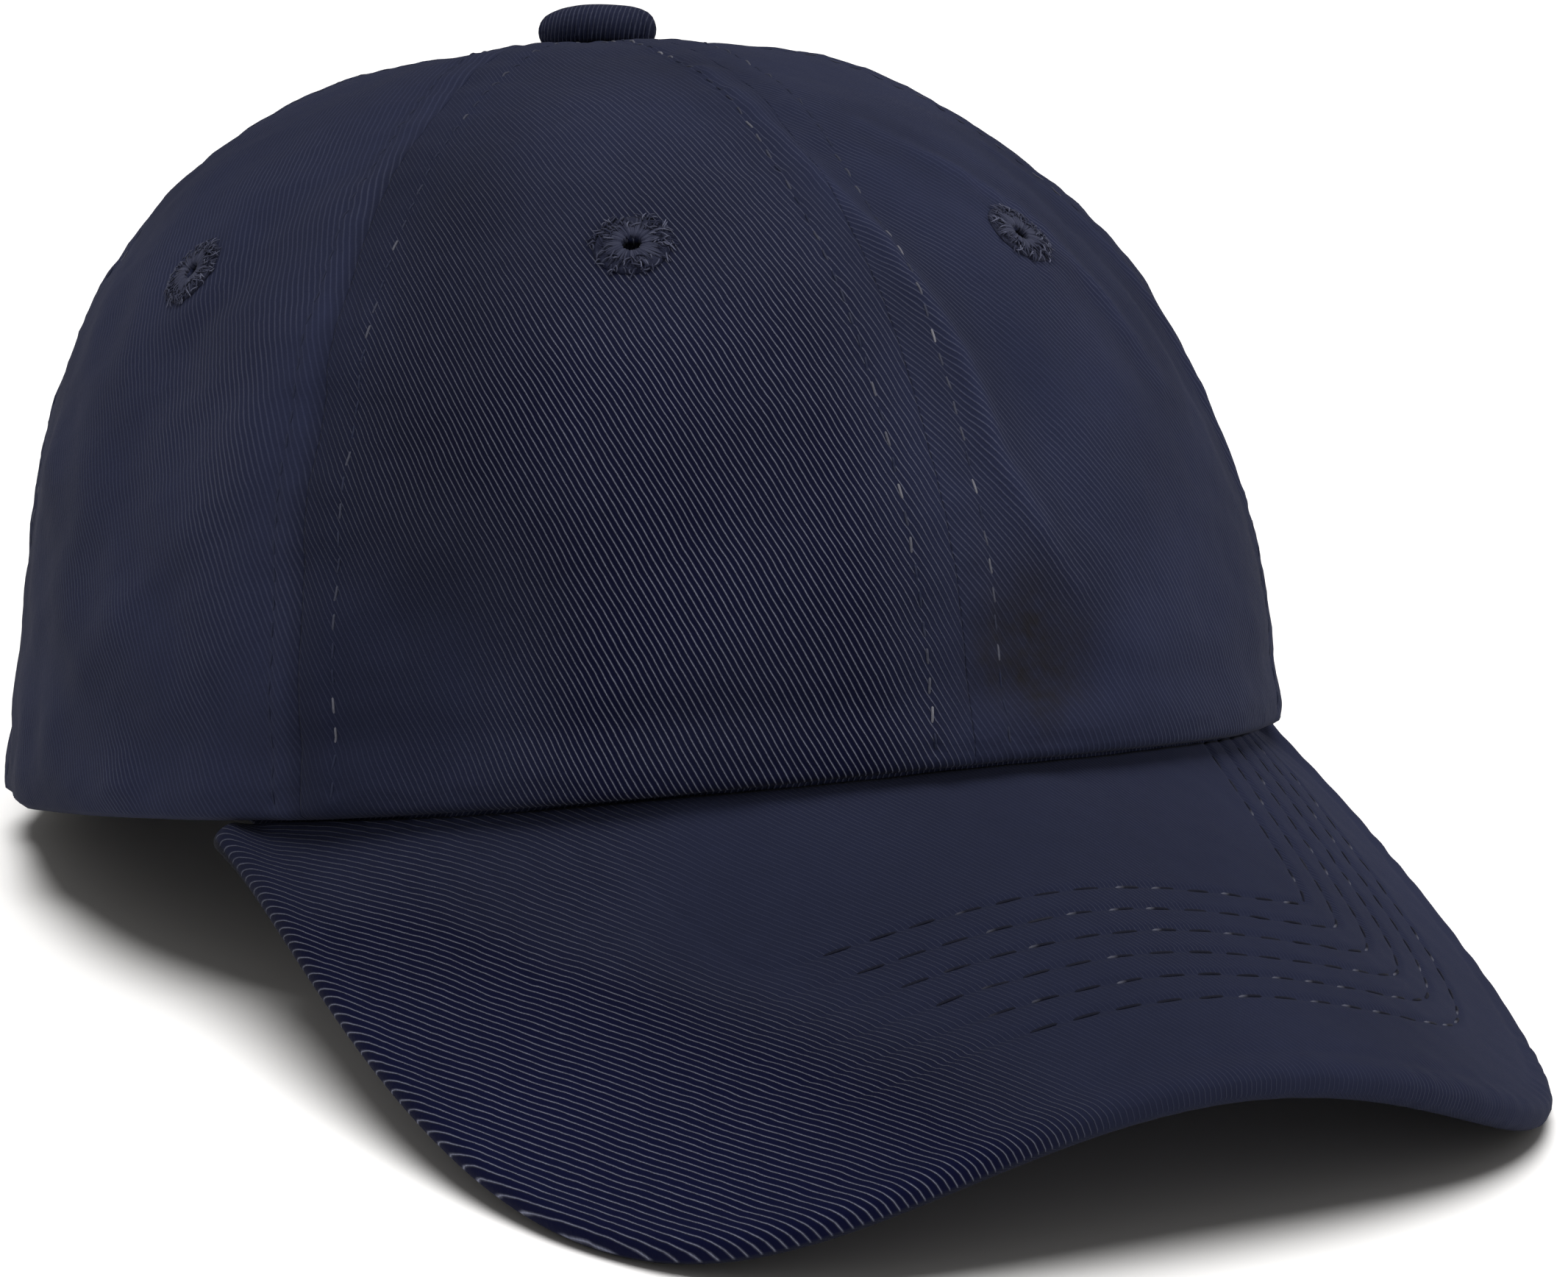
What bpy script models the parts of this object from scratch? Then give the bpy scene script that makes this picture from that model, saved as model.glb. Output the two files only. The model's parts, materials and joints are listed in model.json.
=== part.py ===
"""Baseball cap: six-panel crown, curved visor, covered button and a fabric strap with a cam buckle.

Lengths are in metres. The crown has a frame of its own: the hem plane is z = 0, the apex is on +Z,
the front faces -Y and the wearer's left is +X. The empty "cap_root" tips that frame back, so that
the cap stands on the visor's two front corners and on its rear hem, on the plane z = 0.
"""

import math

import bmesh
import bpy
from mathutils import Euler, Matrix, Vector

MM = 0.001

# Crown: a rounded dome, fuller at the back than at the front.
HALF_WIDTH = 84 * MM
HALF_LENGTH = 101 * MM
CROWN_HEIGHT = 98.7 * MM
FRONT_POWER = 2.05
BACK_POWER = 2.7
FRONT_ARCH = 4.9 * MM
FRONT_ARCH_SPREAD = math.radians(50)
FRONT_SEAM = math.radians(53)
BACK_SEAM = math.radians(113)
PANEL_TIP_RADIUS = 2.3 * MM
GAP = 0.3 * MM
SMALL_STEP = 0.001

# Layers, each counted inwards from the outside of the cloth.
CLOTH = 1.0 * MM
BUCKRAM_INSET = 1.4 * MM
BUCKRAM = 0.5 * MM
TAPE_INSET = 2.3 * MM
TAPE = 0.5 * MM
TAPE_WIDTH = 15 * MM
TAPE_TOP_RADIUS = 16.5 * MM
BUCKRAM_TOP_RADIUS = 10.5 * MM
BUCKRAM_MARGIN = 2.5 * MM
SWEATBAND_INSET = 5.6 * MM
SWEATBAND = 0.8 * MM
SWEATBAND_HEIGHT = 32 * MM
SWEATBAND_END = math.radians(147)

# Rear half-moon opening.
ARCH_HALF_WIDTH = 36 * MM
ARCH_HEIGHT = 56 * MM
ARCH_CUTTER_Y = 90 * MM
ARCH_CUTTER_DEPTH = 60 * MM
BINDING_WIDTH = 2.2 * MM
BINDING_LOW_END = 1.6 * MM

# Eyelets.
EYELET_RADIUS = 5.2 * MM
EYELET_BORE = 1.3 * MM
EYELET_NECK = 2.0 * MM
EYELET_HOLE = 2.4 * MM
EYELET_STAND = 0.8 * MM
EYELET_SLOPE = 0.1 * MM
EYELET_EDGE = 0.25 * MM
EYELET_ROUND = 0.6 * MM
# Each pair's place: the angle from the centre front, and the ratio down from the apex.
EYELETS = {
    "front": (math.radians(24), 0.765),
    "side": (math.radians(77), 0.79),
    "back": (math.radians(147), 0.77),
}

# Visor: its outline is a closed form in the turn round it, from one side over the front to the other.
VISOR_HALF_ANGLE = math.radians(60.8)
VISOR_CENTRE_Y = -49.6 * MM
VISOR_HALF_WIDTH = 77.7 * MM
VISOR_TAPER = -3.6 * MM
VISOR_REACH = 110.0 * MM
VISOR_REACH_ROUND = 5.7 * MM
VISOR_SIDE_Z = 1.2 * MM
VISOR_DROP = 68.2 * MM
VISOR_MIDDLE_RISE = 43.9 * MM
VISOR_TUCK = 3.0 * MM
VISOR_TOP = 0.9 * MM
VISOR_BOARD = 1.6 * MM
VISOR_UNDER = 0.8 * MM
VISOR_LAYER_GAP = 0.35 * MM
VISOR_CROWN_GAP = 0.6 * MM
VISOR_INNER_SPAN = 0.98
VISOR_LEAST_REACH = 0.2
VISOR_STEP = 0.004

# Strap: a band bent round an upright axis behind the crown's middle.
STRAP_RADIUS = 72 * MM
STRAP_INSET = 3.8 * MM
STRAP_AXIS_Y = HALF_LENGTH - STRAP_INSET - STRAP_RADIUS
STRAP_THICKNESS = 1.5 * MM
STRAP_HEIGHT = 18 * MM
STRAP_MIDDLE_Z = 14 * MM
STRAP_SEWN_END = math.radians(-45)
STRAP_FREE_END = math.radians(42)

# Cam buckle, in its own frame: X along the strap, Y outwards, Z up.
BUCKLE_ANGLE = math.radians(15)
BUCKLE_HALF_LENGTH = 8 * MM
BUCKLE_SHEET = 0.8 * MM
BUCKLE_BACK_FACE = -1.5 * MM
EAR_INNER_Z = 9.6 * MM
PIN_X = -5 * MM
PIN_Y = 3.0 * MM
PIN_RADIUS = 1.0 * MM
PIN_HOLE = 1.3 * MM
LEVER_BARREL = 2.0 * MM
LEVER_HALF_HEIGHT = 9.2 * MM
LEVER_END_X = 8 * MM
LEVER_SHEET = 1.2 * MM
BAR = 1.2 * MM
BAR_REACH = 3 * MM
BAR_DEPTH = 1.1 * MM
EAR_LENGTH = 6 * MM
EAR_ABOVE_PIN = 2 * MM
TAB_HALF_HEIGHT = 7.8 * MM
TAB = 0.4 * MM
TAB_LOOP = 1.15 * MM
TAB_OUTER_DEPTH = -1.3 * MM
TAB_INNER_DEPTH = -2.25 * MM
TAB_LOOP_DEPTH = -2.6 * MM
TAB_SEWN_TURN = math.radians(19.5)

# How far the cutters for the holes reach each way.
HOLE_REACH = 6 * MM
PIN_HOLE_REACH = 15 * MM
SHANK_HOLE = 1.8 * MM

# How far the hem and the visor's corners are flattened where they rest.
REST_FLAT = 0.6 * MM
REST_CUTTER_HEIGHT = 20 * MM
REST_CUTTER_SIDE = 400 * MM

NAVY = (0.022, 0.026, 0.052)
DARK_NAVY = (0.014, 0.016, 0.034)
INNER_CLOTH = (0.030, 0.033, 0.058)
WHITE_MESH = (0.62, 0.62, 0.60)
BOARD_PLASTIC = (0.70, 0.70, 0.66)
METAL = (0.42, 0.40, 0.36)


def clear_scene():
    for item in list(bpy.data.objects):
        bpy.data.objects.remove(item)


def new_collection(name):
    made = bpy.data.collections.new(name)
    bpy.context.scene.collection.children.link(made)
    return made


def new_material(name, colour, roughness, metallic=0.0):
    made = bpy.data.materials.new(name)
    made.use_nodes = True
    shader = made.node_tree.nodes["Principled BSDF"]
    shader.inputs["Base Color"].default_value = (*colour, 1.0)
    shader.inputs["Roughness"].default_value = roughness
    shader.inputs["Metallic"].default_value = metallic
    made.diffuse_color = (*colour, 1.0)
    return made


# The crown's shape


def crown_power(angle):
    """How square the dome's profile is: 2 is an ellipse."""
    towards_front = (1 + math.cos(angle)) / 2
    return BACK_POWER + (FRONT_POWER - BACK_POWER) * towards_front


def hem_height(angle):
    """The hem rises over the visor. The angle is counted from the centre front, towards +X."""
    turned = math.atan2(math.sin(angle), math.cos(angle))
    return FRONT_ARCH * math.exp(-((turned / FRONT_ARCH_SPREAD) ** 2))


def crown_point(ratio, angle, inset=0.0):
    """A point of the dome, or of a layer inside it. The ratio is 0 at the apex and 1 at the hem."""
    power = crown_power(angle)
    hem = hem_height(angle)
    share = max(0.0, 1 - ratio**power) ** (1 / power)
    return Vector(
        (
            (HALF_WIDTH - inset) * ratio * math.sin(angle),
            -(HALF_LENGTH - inset) * ratio * math.cos(angle),
            hem + (CROWN_HEIGHT - inset - hem) * share,
        )
    )


def crown_ratio_at(height, angle, inset=0.0):
    """The ratio at which the dome passes a height."""
    power = crown_power(angle)
    hem = hem_height(angle)
    share = (height - hem) / (CROWN_HEIGHT - inset - hem)
    return (1 - max(0.0, share) ** power) ** (1 / power)


def crown_back_point(x, height, inset=0.0):
    """The point of the dome's back half at this x and height."""
    angle = math.pi
    for _ in range(12):
        ratio = crown_ratio_at(height, angle, inset)
        angle = math.pi - math.asin(x / ((HALF_WIDTH - inset) * ratio))
    return crown_point(crown_ratio_at(height, angle, inset), angle, inset)


def crown_normal(ratio, angle):
    up = crown_point(ratio - SMALL_STEP, angle) - crown_point(ratio + SMALL_STEP, angle)
    sideways = crown_point(ratio, angle + SMALL_STEP) - crown_point(ratio, angle - SMALL_STEP)
    return sideways.cross(up).normalized()


def ratio_along(share, tip_radius):
    """Even steps up the dome: share 0 is the hem and 1 is the edge round the apex."""
    tip = math.asin(tip_radius / HALF_WIDTH)
    return math.sin(math.pi / 2 + (tip - math.pi / 2) * share)


def turn_for(length, ratio, angle):
    """The angle that spans this length along the dome, across a seam."""
    radius = math.hypot(HALF_WIDTH * math.cos(angle), HALF_LENGTH * math.sin(angle))
    return length / (ratio * radius)


# Builders


def link(item, material, collection, parent):
    item.data.materials.append(material)
    collection.objects.link(item)
    item.parent = parent
    return item


def object_from(mesh_maker, name):
    mesh = bpy.data.meshes.new(name)
    cage = bmesh.new()
    mesh_maker(cage)
    cage.to_mesh(mesh)
    cage.free()
    return bpy.data.objects.new(name, mesh)


def sheet(name, place, columns, rows, thickness):
    """A grid laid over place(u, v), with u and v from 0 to 1, thickened away from its normals."""

    def make(cage):
        bmesh.ops.create_grid(cage, x_segments=columns, y_segments=rows, size=0.5)
        for vert in cage.verts:
            vert.co = place(vert.co.x + 0.5, vert.co.y + 0.5)

    item = object_from(make, name)
    solid = item.modifiers.new("thickness", "SOLIDIFY")
    solid.thickness = thickness
    solid.offset = -1
    solid.use_even_offset = True
    item.data.shade_smooth()
    return item


def turned(name, profile, steps):
    """A profile of (radius, height) points, turned round Z. It runs down the outer side."""

    def make(cage):
        verts = [cage.verts.new((radius, 0, height)) for radius, height in profile]
        for first, second in zip(verts, verts[1:]):
            cage.edges.new((first, second))
        if profile[0][0] > 0:
            cage.edges.new((verts[-1], verts[0]))

    item = object_from(make, name)
    screw = item.modifiers.new("turn", "SCREW")
    screw.steps = steps
    screw.render_steps = steps
    screw.use_merge_vertices = True
    screw.merge_threshold = 0.00001
    screw.use_smooth_shade = True
    return item


def box(cage, low, high):
    size = [high[i] - low[i] for i in range(3)]
    middle = [(high[i] + low[i]) / 2 for i in range(3)]
    place = Matrix.Translation(middle) @ Matrix.Diagonal((*size, 1))
    bmesh.ops.create_cube(cage, size=1, matrix=place)


def rod(cage, radius, low, high, segments=20, x=0.0, y=0.0):
    place = Matrix.Translation((x, y, (low + high) / 2))
    bmesh.ops.create_cone(
        cage,
        cap_ends=True,
        segments=segments,
        radius1=radius,
        radius2=radius,
        depth=high - low,
        matrix=place,
    )


def boolean(item, cutter, operation="DIFFERENCE"):
    cut = item.modifiers.new(cutter.name, "BOOLEAN")
    cut.object = cutter
    cut.operation = operation


def helper(make, name, collection, parent):
    item = object_from(make, name)
    collection.objects.link(item)
    item.parent = parent
    item.hide_render = True
    item.display_type = "WIRE"
    return item


def aim(item, point, direction):
    item.location = point
    item.rotation_euler = direction.to_track_quat("Z", "Y").to_euler()


# Crown parts


def gore(
    name,
    start,
    end,
    rows=14,
    inset=0.0,
    thickness=CLOTH,
    margin=GAP / 2,
    tip_radius=PANEL_TIP_RADIUS,
):
    """One panel of the dome, between two seams, or a layer behind it that stops short of them."""

    def place(u, v):
        ratio = ratio_along(v, tip_radius)
        trim = min(turn_for(margin, ratio, 0), (end - start) / 3)
        return crown_point(ratio, start + trim + (end - start - 2 * trim) * u, inset)

    return sheet(name, place, 8, rows, thickness)


def seam_tape(name, seam):
    def place(u, v):
        ratio = ratio_along(v, TAPE_TOP_RADIUS)
        across = turn_for((u - 0.5) * TAPE_WIDTH, ratio, seam)
        return crown_point(ratio, seam + across, TAPE_INSET)

    return sheet(name, place, 2, 12, TAPE)


def centre_seam_tape():
    """Runs up from the front hem, over the apex and down to the rear opening."""
    end = crown_ratio_at(ARCH_HEIGHT + 1.5 * MM, math.pi, TAPE_INSET)
    last = math.asin(end)

    def place(u, v):
        along = math.sin(-math.pi / 2 + (math.pi / 2 + last) * v)
        side = (u - 0.5) * TAPE_WIDTH / (HALF_WIDTH - TAPE_INSET)
        along *= math.sqrt(1 - side**2)
        return crown_point(math.hypot(side, along), math.atan2(side, -along), TAPE_INSET)

    return sheet("centre_seam_tape", place, 2, 22, TAPE)


def sweatband():
    def place(u, v):
        angle = (2 * u - 1) * SWEATBAND_END
        height = hem_height(angle) + SWEATBAND_HEIGHT * v
        ratio = crown_ratio_at(height, angle, SWEATBAND_INSET)
        return crown_point(ratio, angle, SWEATBAND_INSET)

    return sheet("sweatband", place, 44, 3, SWEATBAND)


def rear_arch_binding():
    """Lines the edge of the rear opening, level with the cloth."""
    outer_width = ARCH_HALF_WIDTH - GAP
    outer_height = ARCH_HEIGHT - GAP
    hem_angle = math.asin(BINDING_LOW_END / outer_height)

    def place(u, v):
        turn = hem_angle + (math.pi - 2 * hem_angle) * u
        narrow = BINDING_WIDTH * (1 - v)
        x = (outer_width - narrow) * math.cos(turn)
        height = (outer_height - narrow) * math.sin(turn)
        return crown_back_point(x, height)

    return sheet("rear_arch_binding", place, 28, 1, CLOTH)


def arch_cutter(cage):
    lying = Matrix.Rotation(math.pi / 2, 4, "X")
    scale = Matrix.Diagonal((ARCH_HALF_WIDTH, ARCH_CUTTER_DEPTH, ARCH_HEIGHT, 1))
    place = Matrix.Translation((0, ARCH_CUTTER_Y, 0)) @ scale @ lying
    bmesh.ops.create_cone(
        cage, cap_ends=True, segments=72, radius1=1, radius2=1, depth=1, matrix=place
    )


def eyelet_profile(neck_length):
    """A thread ring: a flat flange outside and a neck through the layers behind it."""
    low = GAP
    high = GAP + EYELET_STAND
    return [
        (EYELET_BORE, high - EYELET_SLOPE),
        (EYELET_NECK, high),
        (EYELET_RADIUS - EYELET_ROUND, high - EYELET_SLOPE),
        (EYELET_RADIUS, low + EYELET_EDGE),
        (EYELET_RADIUS - EYELET_EDGE, low),
        (EYELET_NECK, low),
        (EYELET_NECK, -neck_length),
        (EYELET_BORE, -neck_length),
    ]


# Visor parts


def visor_outline(across):
    """The visor's edge. Across runs from -1 at the wearer's right to 1 at the left."""
    turn = math.pi / 2 * (1 - across)
    return Vector(
        (
            VISOR_HALF_WIDTH * math.cos(turn) + VISOR_TAPER * math.cos(3 * turn),
            VISOR_CENTRE_Y - VISOR_REACH * math.sin(turn) - VISOR_REACH_ROUND * math.sin(3 * turn),
            VISOR_SIDE_Z - VISOR_DROP * math.sin(turn) + VISOR_MIDDLE_RISE * math.sin(turn) ** 4,
        )
    )


def visor_root(across):
    """The visor's rear edge, just under the crown's hem."""
    angle = VISOR_HALF_ANGLE * across
    point = crown_point(1, angle, VISOR_TUCK)
    point.z -= VISOR_CROWN_GAP
    return point


def visor_point(across, forward):
    return visor_root(across).lerp(visor_outline(across), forward)


def visor_normal(across, forward):
    inside = max(-1 + VISOR_STEP, min(1 - VISOR_STEP, across))
    side = visor_point(inside + VISOR_STEP, forward) - visor_point(inside - VISOR_STEP, forward)
    ahead = visor_outline(inside) - visor_root(inside)
    return ahead.cross(side).normalized()


def visor_limit(across, inset):
    """How far forward a layer reaches when it stays this far inside the outline."""
    inside = max(-1 + VISOR_STEP, min(1 - VISOR_STEP, across))
    reach = visor_outline(inside) - visor_root(inside)
    edge = (visor_outline(inside + VISOR_STEP) - visor_outline(inside - VISOR_STEP)).normalized()
    return max(VISOR_LEAST_REACH, 1 - inset / reach.cross(edge).length)


def visor_sheet(name, depth, thickness, inset, lip=0.0, columns=22, rows=7):
    """A layer of the visor, this deep under its top face. A lip turns down round the edge."""
    lip_rows = 1 if lip else 0
    span = VISOR_INNER_SPAN if inset else 1

    def place(u, v):
        across = (2 * u - 1) * span
        row = (1 - v) * (rows + lip_rows)
        forward = min(row / rows, 1)
        if inset:
            forward *= visor_limit(across, inset)
        drop = depth + (lip if row > rows + 0.5 else 0)
        return visor_point(across, forward) - visor_normal(across, forward) * drop

    return sheet(name, place, columns, rows + lip_rows, thickness)


# Button


def button_profiles():
    cover = [
        (0, 5.7 * MM),
        (4.4 * MM, 5.55 * MM),
        (6.9 * MM, 4.9 * MM),
        (8.1 * MM, 3.7 * MM),
        (8.2 * MM, 2.4 * MM),
        (7.7 * MM, 0.9 * MM),
        (6.8 * MM, 0.5 * MM),
        (6.8 * MM, 1.2 * MM),
        (7.3 * MM, 2.5 * MM),
        (7.2 * MM, 3.4 * MM),
        (6.4 * MM, 4.2 * MM),
        (4.2 * MM, 4.75 * MM),
        (0, 4.9 * MM),
    ]
    shell = [
        (0, 4.5 * MM),
        (4.0 * MM, 4.35 * MM),
        (5.9 * MM, 3.9 * MM),
        (6.5 * MM, 3.2 * MM),
        (6.4 * MM, 1.2 * MM),
        (5.9 * MM, 1.2 * MM),
        (6.0 * MM, 3.0 * MM),
        (5.5 * MM, 3.5 * MM),
        (3.9 * MM, 3.9 * MM),
        (0, 4.05 * MM),
    ]
    rivet = [
        (0, 3.7 * MM),
        (3.0 * MM, 3.6 * MM),
        (3.0 * MM, 3.0 * MM),
        (1.2 * MM, 2.8 * MM),
        (1.2 * MM, -3.3 * MM),
        (4.4 * MM, -3.5 * MM),
        (4.4 * MM, -4.1 * MM),
        (0, -4.2 * MM),
    ]
    return cover, shell, rivet


# Strap and buckle


def strap():
    outer = STRAP_RADIUS + STRAP_THICKNESS / 2
    low = STRAP_MIDDLE_Z - STRAP_HEIGHT / 2

    def place(u, v):
        angle = STRAP_FREE_END + (STRAP_SEWN_END - STRAP_FREE_END) * u
        return Vector((outer * math.sin(angle), outer * math.cos(angle), low + STRAP_HEIGHT * v))

    return sheet("strap", place, 26, 2, STRAP_THICKNESS)


def buckle_boxes():
    """A back plate behind the strap, two ears for the pin, and a bar that the tab goes round."""
    half = BUCKLE_HALF_LENGTH
    back = BUCKLE_BACK_FACE - BUCKLE_SHEET
    ear_outer = EAR_INNER_Z + BUCKLE_SHEET
    bar_back = back - BAR_DEPTH
    bar_end = half + BAR_REACH
    boxes = [((-half, back, -ear_outer), (half, BUCKLE_BACK_FACE, ear_outer))]
    for side in (-1, 1):
        low, high = sorted((side * EAR_INNER_Z, side * ear_outer))
        boxes.append(((-half, back, low), (-half + EAR_LENGTH, PIN_Y + EAR_ABOVE_PIN, high)))
        low, high = sorted((side * (TAB_HALF_HEIGHT + GAP), side * ear_outer))
        boxes.append(((half - BAR, bar_back, low), (bar_end, BUCKLE_BACK_FACE - GAP, high)))
    boxes.append(((bar_end - BAR, bar_back, -ear_outer), (bar_end, back - GAP, ear_outer)))
    return boxes


def buckle_lever_plate(cage):
    low_y = GAP - LEVER_BARREL
    high = (LEVER_END_X - PIN_X, low_y + LEVER_SHEET, LEVER_HALF_HEIGHT)
    box(cage, (0, low_y, -LEVER_HALF_HEIGHT), high)


def buckle_tab():
    """A strip that goes round the buckle's bar and back behind the panel's edge, along the strap."""
    bar_x = BUCKLE_HALF_LENGTH + BAR_REACH - BAR / 2
    bar_turn = math.atan2(bar_x, STRAP_RADIUS + TAB_LOOP_DEPTH)
    outer_turn = bar_turn + math.radians(2)
    route = [(TAB_SEWN_TURN, TAB_OUTER_DEPTH), (outer_turn, TAB_OUTER_DEPTH)]
    for step in range(7):
        turn = math.pi / 2 + math.pi * step / 6
        ahead = TAB_LOOP * math.cos(turn) / STRAP_RADIUS
        route.append((bar_turn + ahead, TAB_LOOP_DEPTH + TAB_LOOP * math.sin(turn)))
    route += [(outer_turn, TAB_LOOP_DEPTH - TAB_LOOP), (TAB_SEWN_TURN, TAB_INNER_DEPTH)]

    def place(u, v):
        turn, depth = route[round(u * (len(route) - 1))]
        angle = BUCKLE_ANGLE + turn
        radius = STRAP_RADIUS + depth
        height = STRAP_MIDDLE_Z + (2 * v - 1) * TAB_HALF_HEIGHT
        return Vector((radius * math.sin(angle), STRAP_AXIS_Y + radius * math.cos(angle), height))

    item = sheet("buckle_tab", place, len(route) - 1, 1, TAB)
    item.modifiers["thickness"].offset = 0
    return item


def world_points(items):
    bpy.context.view_layer.update()
    graph = bpy.context.evaluated_depsgraph_get()
    points = []
    for item in items:
        ready = item.evaluated_get(graph)
        points += [ready.matrix_world @ vert.co for vert in ready.data.vertices]
    return points


def stand_up(root, items):
    """Tips the cap until the visor's corners and the rear hem are level, and centres it on the origin."""
    points = world_points(items)

    def lowest(points, tip):
        return min(point.y * math.sin(tip) + point.z * math.cos(tip) for point in points)

    front = [point for point in points if point.y < 0]
    rear = [point for point in points if point.y >= 0]
    less, more = math.radians(-25), 0.0
    for _ in range(40):
        tip = (less + more) / 2
        if lowest(front, tip) > lowest(rear, tip):
            less = tip
        else:
            more = tip
    turned_points = [Euler((tip, 0, 0)).to_matrix() @ point for point in points]
    low = [min(point[i] for point in turned_points) for i in range(3)]
    high = [max(point[i] for point in turned_points) for i in range(3)]
    root.rotation_euler = (tip, 0, 0)
    root.location = (-(low[0] + high[0]) / 2, -(low[1] + high[1]) / 2, -low[2] - REST_FLAT)
    bpy.context.view_layer.update()


def sides():
    """The wearer's left, on +X, and right."""
    return (("left", 1), ("right", -1))


def make_panels(keep, twill, mesh_cloth):
    """The six gores, and the stiffening behind the two front ones."""
    panels = {}
    for side, sign in sides():
        for place, low, high in (
            ("front", 0, FRONT_SEAM),
            ("side", FRONT_SEAM, BACK_SEAM),
            ("back", BACK_SEAM, math.pi),
        ):
            start, end = sorted((sign * low, sign * high))
            name = f"{place}_panel_{side}"
            panels[name] = keep(gore(name, start, end), twill)
        start, end = sorted((sign * SMALL_STEP, sign * FRONT_SEAM))
        name = f"buckram_{side}"
        buckram = gore(
            name,
            start,
            end,
            rows=12,
            inset=BUCKRAM_INSET,
            thickness=BUCKRAM,
            margin=BUCKRAM_MARGIN,
            tip_radius=BUCKRAM_TOP_RADIUS,
        )
        panels[name] = keep(buckram, mesh_cloth)
    return panels


def make_lining(keep, lining, band_cloth):
    """The tapes over the seams, the sweatband and the binding. Returns the tape under the button."""
    for side, sign in sides():
        keep(seam_tape(f"front_seam_tape_{side}", sign * FRONT_SEAM), lining)
        keep(seam_tape(f"back_seam_tape_{side}", sign * BACK_SEAM), lining)
    keep(sweatband(), band_cloth)
    keep(rear_arch_binding(), lining)
    return keep(centre_seam_tape(), lining)


def make_eyelets(keep, guide, panels, thread):
    for side, sign in sides():
        for place, (turn, ratio) in EYELETS.items():
            point = crown_point(ratio, sign * turn)
            normal = crown_normal(ratio, sign * turn)
            depth = (BUCKRAM_INSET + BUCKRAM if place == "front" else CLOTH) + GAP
            ring = keep(turned(f"eyelet_{place}_{side}", eyelet_profile(depth), 18), thread)
            aim(ring, point, normal)
            hole = guide(
                lambda cage: rod(cage, EYELET_HOLE, -HOLE_REACH, HOLE_REACH),
                f"eyelet_hole_{place}_{side}",
            )
            aim(hole, point, normal)
            boolean(panels[f"{place}_panel_{side}"], hole)
            if place == "front":
                boolean(panels[f"buckram_{side}"], hole)


def make_button(keep, guide, centre_tape, twill, metal):
    apex = Vector((0, 0, CROWN_HEIGHT))
    names = ("button_cover", "button_shell", "button_rivet")
    for name, profile, material in zip(names, button_profiles(), (twill, metal, metal)):
        keep(turned(name, profile, 24), material).location = apex
    hole = guide(lambda cage: rod(cage, SHANK_HOLE, -HOLE_REACH, HOLE_REACH), "shank_hole")
    hole.location = apex
    boolean(centre_tape, hole)


def make_visor(keep, twill, plastic):
    """The top cover's lip hides the edges of the board and of the lower cover."""
    board_depth = VISOR_TOP + VISOR_LAYER_GAP
    under_depth = board_depth + VISOR_BOARD + VISOR_LAYER_GAP
    edge_inset = VISOR_TOP + 2 * VISOR_LAYER_GAP
    top = visor_sheet("visor_top_cover", 0, VISOR_TOP, 0, lip=under_depth + VISOR_UNDER)
    board = visor_sheet("visor_board", board_depth, VISOR_BOARD, edge_inset)
    under = visor_sheet("visor_under_cover", under_depth, VISOR_UNDER, edge_inset)
    keep(board, plastic)
    return [keep(top, twill), keep(under, twill)]


def make_closure(keep, guide, twill, metal):
    """The strap, which turns about the axis of its arc, and the buckle that it runs through."""
    keep(strap(), twill).location = (0, STRAP_AXIS_Y, 0)
    seat = Vector(
        (
            STRAP_RADIUS * math.sin(BUCKLE_ANGLE),
            STRAP_AXIS_Y + STRAP_RADIUS * math.cos(BUCKLE_ANGLE),
            STRAP_MIDDLE_Z,
        )
    )
    turn = Euler((0, 0, -BUCKLE_ANGLE))
    pin_seat = seat + turn.to_matrix() @ Vector((PIN_X, PIN_Y, 0))

    def seated(item, place):
        item.location = place
        item.rotation_euler = turn
        return item

    plate, *more = buckle_boxes()
    frame = keep(object_from(lambda cage: box(cage, *plate), "buckle_frame"), metal)
    seated(frame, seat)
    for number, corners in enumerate(more):
        added = guide(lambda cage, corners=corners: box(cage, *corners), f"buckle_box_{number}")
        boolean(frame, seated(added, seat), "UNION")
    pin_hole = guide(lambda cage: rod(cage, PIN_HOLE, -PIN_HOLE_REACH, PIN_HOLE_REACH), "pin_hole")
    boolean(frame, seated(pin_hole, pin_seat))

    pin_half = EAR_INNER_Z + BUCKLE_SHEET + GAP
    pin = object_from(lambda cage: rod(cage, PIN_RADIUS, -pin_half, pin_half), "buckle_pin")
    seated(keep(pin, metal), pin_seat)
    lever = object_from(
        lambda cage: rod(cage, LEVER_BARREL, -LEVER_HALF_HEIGHT, LEVER_HALF_HEIGHT), "buckle_lever"
    )
    seated(keep(lever, metal), pin_seat)
    boolean(lever, seated(guide(buckle_lever_plate, "lever_plate"), pin_seat), "UNION")
    boolean(lever, pin_hole)
    keep(buckle_tab(), twill)


def floor_cutter(cage):
    half = REST_CUTTER_SIDE / 2
    box(cage, (-half, -half, -REST_CUTTER_HEIGHT), (half, half, 0))


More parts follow.
